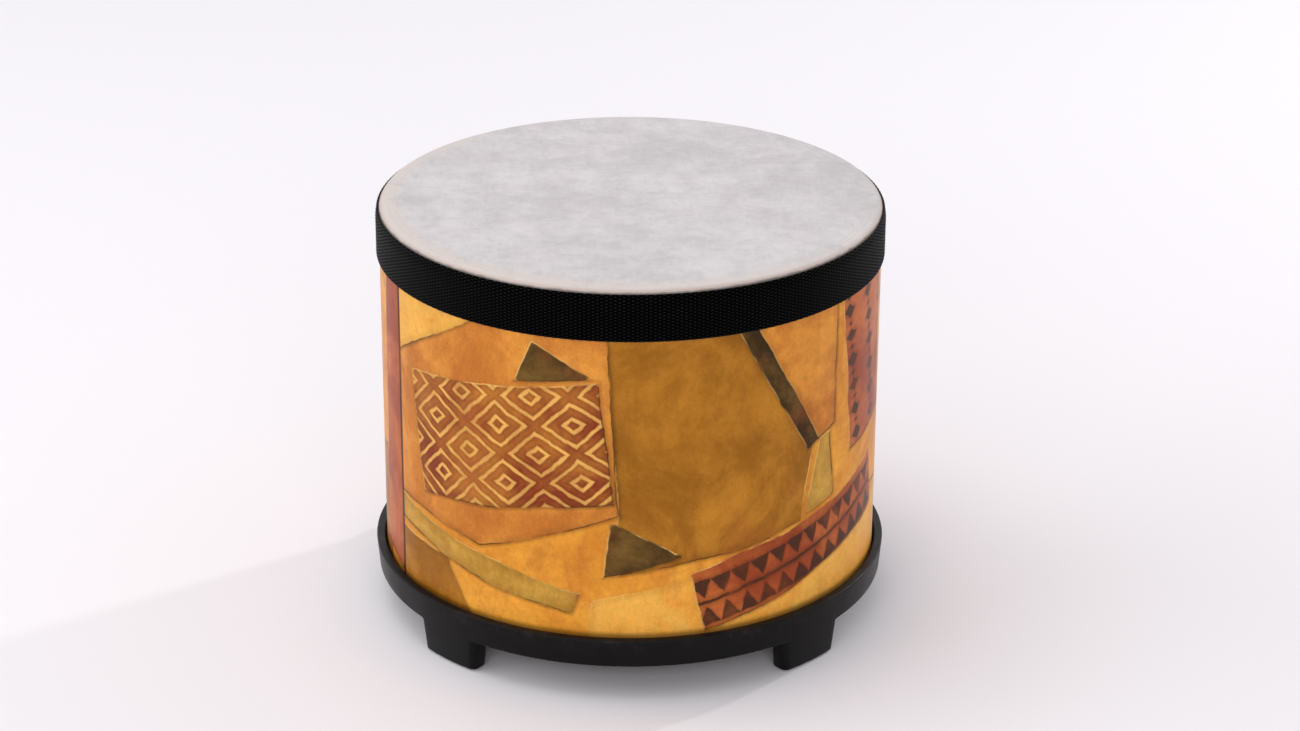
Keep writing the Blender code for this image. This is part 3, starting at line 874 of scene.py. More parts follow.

# %% [markdown]
# ## Wrap finish
# The ground is a gold wash, and the papers come over it in order. Their outlines tremble a little, and the
# place is shaken before a motif's formula reads it, so that everything looks cut and drawn by hand. Glue and
# a painted shadow under the lap's edge darken the seam, and painted shade darkens the wrap just above the
# base's lip, where it goes down into the groove. Rusty blushes, stains, brush strokes and a fine grain run
# over everything, and the laminate's satin gloss varies a little with the grain.

# %% Wrap finish spans
WOBBLE = 2.0 * MM
BOW = 8 * MM
SHAKE = 3.0 * MM
BROKEN_SPAN = (0.38, 0.56)
# Glue and a painted shadow under the lap's raised edge darken the seam:
SEAM_SHADOW = 3.4 * MM
SEAM_CORE = 2.2 * MM
SEAM_EDGE = 1.2 * MM
GLUE_AND_SHADOW_SHADE = 0.85
BLUSH = paint(168, 84, 46)
BLUSH_SPAN = (0.52, 0.7)
BLUSH_SHARE = 0.34
STAIN_FADE = (0.3, 0.7, 0.12)
STROKE_FADE = (0.3, 0.62, 0.12)
STROKE_STRETCH = (1.0, 0.5, 1.0)
GRAIN_FADE = (0.25, 0.75, 0.1)
LIP_LEVEL = 11.4 * MM
# Painted shade on the wrap just above the lip, where it goes down into the groove:
LIP_SHADE_HEIGHT = 3.2 * MM
LIP_SHADE_DARKNESS = 0.55
SATIN = (0.2, 0.8, 0.3, 0.4)
PRINT_RELIEF = 0.03 * MM
print("outlines tremble by at most", in_mm((WOBBLE + BOW) / 2), "mm")

# %% Wrap finish
def shaken_place(finish, place):
    """The place moved about by a small noise along both axes of the flat map."""
    drift = finish.node("ShaderNodeVectorMath", operation="MULTIPLY_ADD")
    finish.join(finish.noise(place, grain=8 * MM, detail=2, as_vector=True, seed=41), drift.inputs[0])
    drift.inputs[1].default_value = (SHAKE, SHAKE, 0.0)
    finish.join(place, drift.inputs[2])
    return drift.outputs["Vector"]


def wrap_finish():
    """Papers over a gold ground, a glued seam with its painted shadow, painted shade above the lip, stains,
    grain and a satin gloss.
    """
    wrap = Finish("printed_laminate", {"Specular IOR Level": 0.09})
    place = wrap.flat_place("print")
    wobble = wrap.noise(place, grain=8 * MM, detail=4, roughness=0.6, seed=40)
    bow = wrap.noise(place, grain=60 * MM, detail=1, seed=44)
    tremble = (wobble - NOISE_MIDDLE) * WOBBLE + (bow - NOISE_MIDDLE) * BOW
    broken = wrap.noise(place, grain=22 * MM, detail=3, seed=45).step(*BROKEN_SPAN)
    shaken = shaken_place(wrap, place)
    colour = wash(wrap, place, GOLD, seed=0.0)
    for number in range(len(PAPERS)):
        colour = lay_paper(wrap, colour, number, place, shaken, tremble, broken)
    u, v = wrap.parts(place)[:2]
    under_lap = float(wrap_u[-1]) - WRAP_LAP
    # Glue and a painted shadow under the lap's raised edge darken the seam.
    seam_glue_and_shadow = (u - under_lap).step(-SEAM_SHADOW, -SEAM_CORE).most(u.fade(SEAM_EDGE / 2, SEAM_EDGE))
    colour = wrap.shade(colour, seam_glue_and_shadow * GLUE_AND_SHADOW_SHADE)
    stain = wrap.noise(place, grain=13 * MM, detail=6, roughness=0.7, seed=42)
    drawn_up = wrap.stretched(place, STROKE_STRETCH)
    stroke = wrap.noise(drawn_up, grain=2.6 * MM, detail=5, roughness=0.7, twist=1.2, seed=46)
    grain = wrap.noise(place, grain=1.1 * MM, detail=3, roughness=0.6, seed=43)
    blush = wrap.noise(place, grain=34 * MM, detail=5, roughness=0.68, seed=47).step(*BLUSH_SPAN)
    colour = wrap.blend(blush * BLUSH_SHARE, colour, BLUSH)
    colour = wrap.shade(colour, stain.fade(*STAIN_FADE))
    colour = wrap.shade(colour, stroke.fade(*STROKE_FADE))
    colour = wrap.shade(colour, grain.fade(*GRAIN_FADE))
    # Painted shade just above the base's lip, where the wrap goes down into the groove.
    crevice_shade = v.fade(LIP_LEVEL, LIP_LEVEL + LIP_SHADE_HEIGHT, LIP_SHADE_DARKNESS)
    wrap.colour(wrap.shade(colour, crevice_shade))
    wrap.roughness(grain.step(*SATIN))
    wrap.relief(grain * 0.5 + stain * 0.5, PRINT_RELIEF)
    return wrap


put_on("printed_wrap", wrap_mesh, "shell_wrap", wrap_finish())

# %% [markdown]
# ## Woven tape
# The tape is a heavy black woven band, 24 mm wide, stuck over the head's collar with its ends lapped at the
# back. A weave could be a bump texture, but it shows at the tape's edges and in its broken highlights, so it
# is real relief here. The stitches stand in columns across the tape and each column is half a stitch out of
# step with the next, which is the product of a cosine along the tape and one across it. The top edge tucks
# in against the film along a smooth step. The grid's rows run up the outer face and down the back, where
# three are enough.

# %% Tape sizes and path
BAND_THICKNESS = 1.0 * MM
BAND_LAP = 30 * MM
BAND_RAMP = 8 * MM
BAND_SEAM_DEG = 172.0
COLUMN_PITCH = 2.1 * MM
SAMPLES_PER_PAIR = 6

band_width = band_top - band_bottom
band_inside = skin_inside + 2 * WRAP_THICKNESS + LAYER_GAP + SEAT_GAP
band_length = 2 * math.pi * (band_inside + BAND_THICKNESS / 2) + BAND_LAP
column_pairs = round(band_length / (2 * COLUMN_PITCH))
band_steps = column_pairs * SAMPLES_PER_PAIR
band_along, band_angle, band_radius = lapped_path(
    band_inside, BAND_THICKNESS, BAND_LAP, BAND_RAMP, BAND_SEAM_DEG, band_steps
)
print("the tape is", in_mm(band_length), "mm long with", 2 * column_pairs, "columns of stitches")

# %% Tape surface
STITCH_PITCH = 1.7 * MM
SAMPLES_PER_STITCH = 4
WEAVE_RISE = 0.26 * MM
EDGE_WAVE = 0.07 * MM
SELVEDGE = 0.4 * MM
SELVEDGE_SHARE = 0.35
TUCK = 0.55 * MM
TUCK_HEIGHT = 5 * MM

band_rows = round(band_width / STITCH_PITCH * SAMPLES_PER_STITCH)
across = np.linspace(0, band_width, band_rows + 1)[:, None]
from_edge = np.minimum(across, band_width - across)
pair_turn = 2 * np.pi * column_pairs * band_along / band_length
weave = np.cos(pair_turn) * np.cos(2 * np.pi * across / STITCH_PITCH)
rounding = np.sqrt(np.clip(1 - (1 - np.clip(from_edge / SELVEDGE, 0, 1)) ** 2, 0, 1))
body_depth = (BAND_THICKNESS - WEAVE_RISE) * (SELVEDGE_SHARE + (1 - SELVEDGE_SHARE) * rounding)
outer_depth = body_depth + WEAVE_RISE * weave * rounding
edge_shift = EDGE_WAVE * (1 + np.cos(pair_turn) * (1 - from_edge / SELVEDGE).clip(0, 1))
outer_height = band_bottom + across + np.where(across < band_width / 2, edge_shift, -edge_shift)

back_across = np.array([[band_width - EDGE_WAVE], [band_width - TUCK_HEIGHT], [EDGE_WAVE]])
back_depth = np.zeros((len(back_across), band_steps + 1))
back_height = np.broadcast_to(band_bottom + back_across, back_depth.shape)
band_across = np.concatenate([across, back_across])
tuck = TUCK * smooth_step(band_width - TUCK_HEIGHT, band_width, band_across)
band_depth = np.concatenate([outer_depth, back_depth]) - tuck
band_height = np.concatenate([outer_height, back_height])
band_points = polar(band_angle[None, :], band_radius[None, :] + band_depth, band_height)
band_flat = np.stack(np.broadcast_arrays(band_along, band_across), axis=-1)
band_mesh = skin("woven_tape", band_points, close_rows=True, cap_columns=True, maps={"tape": band_flat})
print("the weave rises", in_mm(WEAVE_RISE), "mm in", band_rows, "rows")

# %% [markdown]
# The yarn is black with a little fuzz, which lightens the tape where it is seen edge on. The hollows between
# the stitches are painted darker as shade, so the tops stand out lighter, and the tops are also glossier; a
# dusty unevenness runs along the tape. The shader repeats the weave's formula on the tape's flat map, so the
# colour follows the relief.

# %% Tape finish
YARN_TOP = paint(12, 11, 13)
# Painted shade in the hollows between the stitches.
YARN_HOLLOW_SHADE = paint(2, 2, 2)
YARN_DUST = paint(38, 35, 39)
YARN_FUZZ = {"Sheen Weight": 0.09, "Sheen Roughness": 0.42}
YARN_GLOSS = 0.07
STITCH_TOP = (0.1, 0.9)
COLUMN_TOP = (0.2, 0.6)
DUST_SPAN = (0.5, 0.75)
DUST_SHARE = 0.6
FIBRE_FADE = (0.2, 0.8, 0.4)
FIBRE_DEPTH = 0.05 * MM
TAPE_SHARP_DEG = 80


def tape_finish():
    """Black yarn with painted shade in the hollows between the stitches, glossier tops and uneven dust."""
    tape = Finish("black_tape", {"Roughness": 0.5, **YARN_FUZZ})
    place = tape.place()
    along, over = tape.parts(tape.flat_place("tape"))[:2]
    column = (along * (2 * math.pi * column_pairs / band_length)).apply("COSINE")
    stitch = column * (over * (2 * math.pi / STITCH_PITCH)).apply("COSINE")
    top = stitch.step(*STITCH_TOP) * column.size().step(*COLUMN_TOP)
    dust = tape.noise(place, grain=9 * MM, detail=4, roughness=0.6)
    fibre = tape.noise(place, grain=0.5 * MM, detail=2, seed=2)
    # The hollows between the stitches are painted darker as shade, so the tops stand out lighter.
    colour = tape.blend(top, YARN_HOLLOW_SHADE, YARN_TOP)
    colour = tape.blend(dust.step(*DUST_SPAN) * top * DUST_SHARE, colour, YARN_DUST)
    tape.colour(tape.shade(colour, fibre.fade(*FIBRE_FADE)))
    tape.join(top * YARN_GLOSS, tape.shader.inputs["Specular IOR Level"])
    tape.relief(fibre, FIBRE_DEPTH)
    return tape


band = put_on("woven_tape", band_mesh, "rim_band", tape_finish(), sharp_deg=TAPE_SHARP_DEG)

# %% [markdown]
# ## Moulded base ring
# The base is one moulding: a drafted outer wall with a rounded lip, a channel that the tube stands in, an
# inner wall for the screws, and four feet whose outer faces run on from the wall without a step. It could be
# a turned ring with feet joined on, but then the faces would never quite agree. Here one closed section is
# carried round the axis, and its lower leg lengthens into a foot: a column of the grid that passes through a
# foot goes down the foot's outer wall, across its underside and up its inner wall, and elsewhere those
# points rest on the ring's underside.

# %% Base sizes
FOOT_COUNT = 4
FIRST_FOOT_DEG = 45.0
FOOT_SPACING_DEG = 90.0
DRAFT = math.tan(math.radians(4.8))
RING_BOTTOM = 18.0 * MM
RING_HEIGHT = 14.7 * MM
LIP_WIDTH = 4.55 * MM
CHANNEL_DEPTH = 11.7 * MM
SHELL_WALL = 6.0 * MM
INNER_WALL = 2.5 * MM
foot_angles = np.radians(FIRST_FOOT_DEG + FOOT_SPACING_DEG * np.arange(FOOT_COUNT))
ring_top = RING_BOTTOM + RING_HEIGHT
channel_floor = ring_top - CHANNEL_DEPTH
lip_inside = lip_radius - LIP_WIDTH
inner_wall_outside = tube_radius - SHELL_WALL - SEAT_GAP
base_bore = inner_wall_outside - INNER_WALL


def base_outside(height):
    """Outer radius of the base at a height, from the lip down along the draft."""
    return lip_radius - (ring_top - height) * DRAFT


plan_radius = base_outside(RING_BOTTOM)
print("the lip is", in_mm(lip_radius), "mm and the wall's foot", in_mm(plan_radius), "mm from the axis")

# %% [markdown]
# A foot's plan is a rounded rectangle bent round the axis. Going down the foot, the outline is drawn in by
# the draft and, at the bottom, by a rounded edge.

# %% Foot plan and levels
EDGE_ROUND = 0.8 * MM
FOOT_WIDTH = 40.5 * MM
FOOT_CORNER = 4.0 * MM
FOOT_INSET = 1.0 * MM
FOOT_ROUND = 1.2 * MM
ROUND_STEPS = 6


def foot_plan(share, lean, inset, level):
    """Distance along the ring and the outer and inner radius of a foot's outline, drawn in by an inset.

    share runs from -1 to 1 along the foot's width, and lean from pi to 0 turns round its two corners.
    """
    outer = base_outside(level) - inset
    inner = base_bore + FOOT_INSET + inset
    half = FOOT_WIDTH / 2 - (RING_BOTTOM - level) * DRAFT - inset
    corner = np.maximum(FOOT_CORNER - inset, EDGE_ROUND)
    along = share * (half - corner) + corner * np.cos(lean)
    rise = corner * (1 - np.sin(lean))
    return along, outer - rise, inner + rise


quarter_turn = np.linspace(0, np.pi / 2, ROUND_STEPS + 1)
level_inset = np.concatenate([[0.0], FOOT_ROUND * (1 - np.cos(quarter_turn))])
level_height = np.concatenate([[RING_BOTTOM], foot_bottom + FOOT_ROUND * (1 - np.sin(quarter_turn))])
last = len(level_inset) - 1
print("a foot has", last + 1, "levels from", in_mm(RING_BOTTOM), "down to", in_mm(foot_bottom), "mm")

# %% [markdown]
# Each column of the grid is told how far along the foot's width it lies (share), how far round a corner it
# has turned (lean), how far outside the foot it stands (extra), and how many levels it may go down (depth).
# The columns of a foot's flat side go down one level at a time, so that the side is filled in level strips.

# %% Columns of the grid
CORNER_STEPS = 8
FACE_STEPS = 14
PLAIN_STEPS = 18

half_spacing = math.radians(FOOT_SPACING_DEG) / 2 * plan_radius
plain = np.linspace(-(half_spacing - FOOT_WIDTH / 2), 0, PLAIN_STEPS, endpoint=False)
flat_side = np.zeros(last + 1)
corner_lean = np.linspace(np.pi, np.pi / 2, CORNER_STEPS + 1)[1:]
face_share = np.linspace(-1, 1, FACE_STEPS + 1)[1:-1]
face_lean = np.full(len(face_share), np.pi / 2)


def mirrored(left, middle, sign=1):
    """A run of column values: the left half, the middle, and the left half in reverse times a sign."""
    return np.concatenate([left, middle, sign * left[::-1]])


left_lean = np.concatenate([np.full(len(plain) + len(flat_side), np.pi), corner_lean])
left_depth = np.concatenate([0 * plain, np.arange(last + 1), np.full(len(corner_lean), last)])
column_extra = mirrored(np.concatenate([plain, flat_side, 0 * corner_lean]), 0 * face_share, -1)
column_share = mirrored(np.full(len(left_lean), -1.0), face_share, -1)
column_lean = np.concatenate([left_lean, face_lean, np.pi - left_lean[::-1]])
column_depth = mirrored(left_depth, np.full(len(face_share), last)).astype(int)
print(len(column_extra), "columns for one quarter of the ring")

# %% [markdown]
# The section starts at the bottom of a foot, goes up the outside, over the lip, through the channel, over
# the inner wall and down again. Only its middle stretch is the same all round. The rounding under the ring's
# outer edge shrinks to nothing where a foot's face runs on from the wall.

# %% Base surface
def ring_section():
    """Radius and height along the stretch that is the same all round: lip, channel and inner wall."""
    lip_centre = ring_top - EDGE_ROUND
    wall_centre = inner_wall_top - EDGE_ROUND
    return np.concatenate([
        arc(lip_radius - EDGE_ROUND, lip_centre, EDGE_ROUND, 0, 90, ROUND_STEPS),
        arc(lip_inside + EDGE_ROUND, lip_centre, EDGE_ROUND, 90, 180, ROUND_STEPS),
        [(lip_inside, channel_floor), (inner_wall_outside, channel_floor)],
        arc(inner_wall_outside - EDGE_ROUND, wall_centre, EDGE_ROUND, 0, 90, ROUND_STEPS),
        arc(base_bore + EDGE_ROUND, wall_centre, EDGE_ROUND, 90, 180, ROUND_STEPS),
        [(base_bore, RING_BOTTOM)],
    ])


def base_points():
    """The closed section at every column: foot wall up, ring's edge, ring section, foot wall down."""
    level = np.minimum(np.arange(last + 1)[:, None], column_depth[None, :])
    along, outer, inner = foot_plan(column_share, column_lean, level_inset[level], level_height[level])
    along = along + column_extra
    height = level_height[level]
    edge = np.minimum(EDGE_ROUND, plan_radius - outer[0])
    under_edge = np.linspace(-np.pi / 2, 0, ROUND_STEPS + 1)[:, None]
    edge_radius = base_outside(RING_BOTTOM + edge) - edge + edge * np.cos(under_edge)
    edge_height = RING_BOTTOM + edge + edge * np.sin(under_edge)
    section = ring_section()
    fixed = np.ones((len(section), len(column_extra)))
    radius = np.concatenate([outer[::-1], edge_radius, section[:, :1] * fixed, inner])
    heights = np.concatenate([height[::-1], edge_height, section[:, 1:] * fixed, height])
    ring_along = np.broadcast_to(along[0], (len(edge_radius) + len(section), len(column_extra)))
    angle = np.concatenate([along[::-1], ring_along, along]) / plan_radius
    return np.concatenate([polar(foot + angle, radius, heights) for foot in foot_angles], axis=1)


ring_mesh = skin("moulded_base", base_points(), close_rows=True, close_columns=True)
print("the plain moulding has", len(ring_mesh.polygons), "faces")

# %% [markdown]
# ## Cores, bosses and screw holes
# The feet are cored from below so that the walls cool evenly in the mould, and a soft pad plugs each core.
# Inside, a round boss backs each screw. These cuts meet the walls at odd angles, so they are left to
# Blender's exact Boolean. The first helper shape is a block on the foot's own plan, which serves the cores
# here and the pads later.

# %% Carving, and blocks on a foot's plan
SPINE_SHARE = 0.9


def carve(mesh, *steps):
    """Joins and cuts a mesh with helper meshes in order; a step is an operation and a mesh."""
    body = bpy.data.objects.new("carved", mesh)
    helpers = [bpy.data.objects.new("helper", other) for _, other in steps]
    for each in (body, *helpers):
        bpy.context.scene.collection.objects.link(each)
    for (operation, _), helper in zip(steps, helpers):
        modifier = body.modifiers.new(operation, "BOOLEAN")
        modifier.operation = operation
        modifier.solver = "EXACT"
        modifier.object = helper
    graph = bpy.context.evaluated_depsgraph_get()
    result = bpy.data.meshes.new_from_object(body.evaluated_get(graph))
    for each in (body, *helpers):
        bpy.data.objects.remove(each)
    return weld(result)


end_lean = np.linspace(np.pi, np.pi / 2, CORNER_STEPS + 1)
block_share = mirrored(np.full(CORNER_STEPS + 1, -1.0), face_share, -1)
block_lean = np.concatenate([end_lean, face_lean, np.linspace(np.pi / 2, 0, CORNER_STEPS + 1)])


def foot_block(name, insets, heights, foot):
    """A closed block on a foot's plan: outlines drawn in by insets at heights.

    Each end is closed on the outline's middle line, a little shorter than the outline.
    """
    along, outer, inner = foot_plan(block_share, block_lean, np.array(insets)[:, None], foot_bottom)
    middle = (outer + inner) / 2
    around = np.concatenate([along, along[:, ::-1]], axis=1)
    radius = np.concatenate([outer, inner[:, ::-1]], axis=1)
    spine = np.concatenate([middle, middle[:, ::-1]], axis=1)
    radius = np.concatenate([spine[:1], radius, spine[-1:]])
    around = np.concatenate([SPINE_SHARE * around[:1], around, SPINE_SHARE * around[-1:]])
    levels = np.concatenate([heights[:1], heights, heights[-1:]])[:, None]
    return skin(name, polar(foot + around / plan_radius, radius, levels), close_columns=True)


print("a block's outline has", 2 * len(block_share), "points")

# %% [markdown]
# The second helper is a rod along a radius, for the bosses and for the screw holes in base and tube. It is
# turned about Z first and then laid down towards the drum's axis.

# %% Rods along a radius
BOSS_HEIGHT = 1.5 * MM
BOSS_RADIUS = 4.8 * MM
SCREW_RISE = 8.0 * MM
SCREW_RADIUS = 1.7 * MM
SCREW_COVER = 1.5 * MM
ROD_STEPS = 40
boss_face = base_bore - BOSS_HEIGHT
screw_level = channel_floor + SCREW_RISE
screw_tip = tube_radius - SCREW_COVER


def along_radius(mesh, foot, distance):
    """Lays a mesh made about Z along a radius at the screws' level, its Z towards the drum's axis."""
    side = Vector((math.cos(foot), math.sin(foot), 0.0))
    inward = Vector((-math.sin(foot), math.cos(foot), 0.0))
    turn_in = Matrix((side, Vector((0.0, 0.0, -1.0)), inward)).transposed().to_4x4()
    place = Vector((math.sin(foot) * distance, -math.cos(foot) * distance, screw_level))
    mesh.transform(Matrix.Translation(place) @ turn_in)
    return mesh


def rod(radius, inner, outer, foot, roll=0.0):
    """A closed rod between two distances from the drum's axis, rolled about its own length."""
    profile = np.array([(0.0, inner - outer), (radius, inner - outer), (radius, 0.0), (0.0, 0.0)])
    mesh = turned("rod", profile, ROD_STEPS)
    mesh.transform(Matrix.Rotation(roll, 4, "Z"))
    return along_radius(mesh, foot, inner)


def screw_hole(inner, outer, foot):
    """A cut for one screw; half a facet of roll keeps its edges off those of the boss and the wall."""
    return "DIFFERENCE", rod(SCREW_RADIUS + SEAT_GAP, inner, outer, foot, roll=math.pi / ROD_STEPS)


print("the screws lie", in_mm(screw_level), "mm above the floor")

# %% [markdown]
# At each foot the boss is joined to the inner wall, the core is cut out from below, and the screw's hole is
# drilled through boss and wall. The steps run in one go on the plain moulding, so that it stays one solid.

# %% Carve the base
FOOT_ROOF = 3.0 * MM
PAD_THICKNESS = 2.0 * MM
PAD_MARGIN = 1.0 * MM
PLUG_MARGIN = 1.5 * MM
HOLE_START = 2.0 * MM


def base_steps():
    """The joins and cuts of all four feet, in order."""
    recess = FOOT_ROUND + PAD_MARGIN - SEAT_GAP
    insets = [recess, recess, recess + PLUG_MARGIN, recess + PLUG_MARGIN]
    shelf = PAD_THICKNESS + SEAT_GAP
    heights = [-PAD_THICKNESS, shelf, shelf, RING_BOTTOM - FOOT_ROOF]
    steps = []
    for foot in foot_angles:
        steps.append(("UNION", rod(BOSS_RADIUS, boss_face, base_bore + INNER_WALL / 2, foot)))
        steps.append(("DIFFERENCE", foot_block("core", insets, heights, foot)))
        steps.append(screw_hole(boss_face - HOLE_START, screw_tip, foot))
    return steps


base_mesh = carve(ring_mesh, *base_steps())
print("with cores, bosses and holes it has", len(base_mesh.polygons), "faces")

# %% [markdown]
# The plastic is a satin black with a fine moulded grain. Hands have polished what faces up, a film of dust
# greys what is seen edge on, and knocks leave pale scuffs along the lip. The grain is a small noise, the
# polish follows the surface's own normal, the dust is a sheen, and the scuffs fade out below the lip.

# %% Base finish
PLASTIC_BLACK = paint(8, 7, 8)
PLASTIC_GREY = paint(14, 12, 13)
PLASTIC_SCUFF = paint(56, 50, 52)
PLASTIC_DUST = {"Sheen Weight": 0.04, "Sheen Roughness": 0.4}
CLOUD_SPAN = (0.3, 0.7)
CLOUD_ROUGHNESS = (0.38, 0.5)
UP_SPAN = (0.2, 1.0)
UP_POLISH = 0.1
SCUFF_SPAN = (0.48, 0.7)
SCUFF_DEPTH = 9 * MM
SCUFF_SHARE = 0.4
MOULD_GRAIN_FADE = (0.25, 0.75, 0.25)
MOULD_GRAIN_DEPTH = 0.05 * MM


def plastic_finish():
    """Satin black of uneven mixture, glossier where it faces up and scuffed along the lip."""
    plastic = Finish("satin_black_plastic", {"Specular IOR Level": 0.12, **PLASTIC_DUST})
    place = plastic.place()
    cloud = plastic.noise(place, grain=22 * MM, detail=4, roughness=0.6)
    grain = plastic.noise(place, grain=0.8 * MM, detail=3, roughness=0.6, seed=4)
    normal = plastic.node("ShaderNodeNewGeometry").outputs["Normal"]
    up = plastic.parts(normal)[2].step(*UP_SPAN)
    colour = plastic.blend(cloud.step(*CLOUD_SPAN), PLASTIC_BLACK, PLASTIC_GREY)
    knocks = plastic.noise(place, grain=9 * MM, detail=6, roughness=0.7, twist=0.6, seed=6)
    by_lip = plastic.parts(place)[2].step(ring_top - SCUFF_DEPTH, ring_top)
    colour = plastic.blend(knocks.step(*SCUFF_SPAN) * by_lip * SCUFF_SHARE, colour, PLASTIC_SCUFF)
    plastic.colour(plastic.shade(colour, grain.fade(*MOULD_GRAIN_FADE)))
    plastic.roughness(cloud.step(*CLOUD_SPAN, *CLOUD_ROUGHNESS) - up * UP_POLISH)
    plastic.relief(grain, MOULD_GRAIN_DEPTH)
    return plastic


put_on("moulded_base", base_mesh, "base_ring", plastic_finish())

# %% [markdown]
# ## Foot pads
# Each foot ends in a soft rubber pad that stands a little proud of the plastic. Its lower edge is rounded,
# and a plug on its back holds it in the foot's core. It could be a bevelled box, but the foot's plan is bent
# round the axis, so the block that cuts the cores serves again with other insets. All four pads share one
# finish of matt, speckled grey.

# %% Pads
PAD_ROUND = 0.4 * MM
PLUG_HEIGHT = 5.0 * MM
RUBBER_DARK = paint(44, 43, 43)
RUBBER_WORN = paint(66, 63, 60)
WORN_SPAN = (0.45, 0.7)
SPECKLE_FADE = (0.3, 0.7, 0.3)
SPECKLE_DEPTH = 0.08 * MM


def rubber_finish():
    """Matt dark grey rubber with a speckled tooth."""
    rubber = Finish("soft_rubber", {"Roughness": 0.85, "Specular IOR Level": 0.25})
    place = rubber.place()
    speckle = rubber.noise(place, grain=1.2 * MM, detail=3, roughness=0.7)
    scuff = rubber.noise(place, grain=7 * MM, detail=3, seed=2)
    colour = rubber.blend(scuff.step(*WORN_SPAN), RUBBER_DARK, RUBBER_WORN)
    rubber.colour(rubber.shade(colour, speckle.fade(*SPECKLE_FADE)))
    rubber.relief(speckle, SPECKLE_DEPTH)
    return rubber


def pad_mesh(name, foot):
    """The pad's plate with a rounded lower edge and its plug, on the foot's plan."""
    plate = FOOT_ROUND + PAD_MARGIN
    edge_inset = plate + PAD_ROUND * (1 - np.sin(quarter_turn))
    edge_height = PAD_ROUND * (1 - np.cos(quarter_turn))
    insets = np.concatenate([edge_inset, [plate, plate + PLUG_MARGIN, plate + PLUG_MARGIN]])
    tops = [PAD_THICKNESS, PAD_THICKNESS, PAD_THICKNESS + PLUG_HEIGHT]
    return foot_block(name, insets, np.concatenate([edge_height, tops]), foot)


rubber = rubber_finish()
for number, foot in enumerate(foot_angles, start=1):
    name = f"rubber_pad_{number}"
    put_on(name, pad_mesh(name, foot), f"foot_pad_{number}", rubber)

# %% [markdown]
# ## Screws
# Four pan-head screws hold the tube from inside. A thread could be a coiled profile joined to a core, but at
# this size a turned grid whose shank swells along a helix is enough, and it closes by itself. Two bars cut a
# cross into its head.

# %% Screw surface
HEAD_RADIUS = 3.5 * MM
HEAD_HEIGHT = 2.4 * MM
HEAD_RIM = 0.8 * MM
DOME_ROWS = 13
SHANK_ROWS = 90
SCREW_POINT = 2.0 * MM
THREAD_PITCH = 1.4 * MM
THREAD_DEPTH = 0.35 * MM
RECESS_SPAN = 3.6 * MM
RECESS_WIDTH = 0.8 * MM
RECESS_DEPTH = 1.3 * MM
screw_length = screw_tip - boss_face


def bar(wide, deep, low, high):
    """A closed bar on the Z axis: four corners carried up, each end closed on the axis."""
    plan = np.array([(-wide, -deep), (wide, -deep), (wide, deep), (-wide, deep)]) / 2
    rows = np.stack([0 * plan, plan, plan, 0 * plan])
    heights = np.broadcast_to(np.array([low, low, high, high])[:, None, None], (*rows.shape[:2], 1))
    return skin("bar", np.concatenate([rows, heights], axis=2), close_columns=True)


def pan_head():
    """Radius and height from the head's lower edge up its rim and along a quarter of an ellipse."""
    dome = np.linspace(0, np.pi / 2, DOME_ROWS)
    dome_height = HEAD_RIM + (HEAD_HEIGHT - HEAD_RIM) * np.sin(dome)
    dome_radius = HEAD_RADIUS * np.cos(dome)
    dome_radius[-1] = 0.0
    return np.concatenate([[(HEAD_RADIUS, 0.0)], np.stack([dome_radius, dome_height], axis=1)])


def screw_mesh(name):
    """Tip, threaded shank and head about Z; the shank's radius follows a cosine of height less turn."""
    angle = full_turn(ROD_STEPS)
    shank = np.linspace(-screw_length, 0, SHANK_ROWS)
    taper = np.clip((shank + screw_length) / SCREW_POINT, 0, 1)
    helix = np.cos(2 * np.pi * shank[:, None] / THREAD_PITCH - angle)
    shank_radius = taper[:, None] * (SCREW_RADIUS - THREAD_DEPTH * (0.5 - 0.5 * helix))
    head = pan_head()
    radius = np.concatenate([shank_radius, head[:, :1] * np.ones_like(angle)])
    height = np.concatenate([shank, head[:, 1]])[:, None]
    mesh = skin(name, polar(angle[None, :], radius, height), close_columns=True)
    low, high = HEAD_HEIGHT - RECESS_DEPTH, HEAD_HEIGHT + RECESS_DEPTH
    bars = [bar(RECESS_SPAN, RECESS_WIDTH, low, high), bar(RECESS_WIDTH, RECESS_SPAN, low, high)]
    return carve(mesh, *[("DIFFERENCE", each) for each in bars])


print("a screw's shank is", in_mm(screw_length), "mm long")

# %% [markdown]
# The screws are zinc-plated steel. One even metal would mirror its surroundings too cleanly, so faint
# streaks vary its tone and its gloss together.

# %% Screw finish
STEEL_DARK = paint(178, 178, 182)
STEEL_LIGHT = paint(206, 205, 203)
STREAK_STRETCH = (1.0, 1.0, 0.2)
STREAK_SPAN = (0.3, 0.7)
STREAK_ROUGHNESS = (0.28, 0.42)


def steel_finish():
    """Zinc-plated steel with faint streaks."""
    steel = Finish("plated_steel", {"Metallic": 1.0})
    drawn_up = steel.stretched(steel.place(), STREAK_STRETCH)
    streak = steel.noise(drawn_up, grain=1.2 * MM, detail=3)
    steel.colour(steel.blend(streak.step(*STREAK_SPAN), STEEL_DARK, STEEL_LIGHT))
    steel.roughness(streak.step(*STREAK_SPAN, *STREAK_ROUGHNESS))
    return steel


steel = steel_finish()
for number, foot in enumerate(foot_angles, start=1):
    name = f"pan_screw_{number}"
    placed = along_radius(screw_mesh(name), foot, boss_face - SEAT_GAP)
    put_on(name, placed, f"base_screw_{number}", steel)

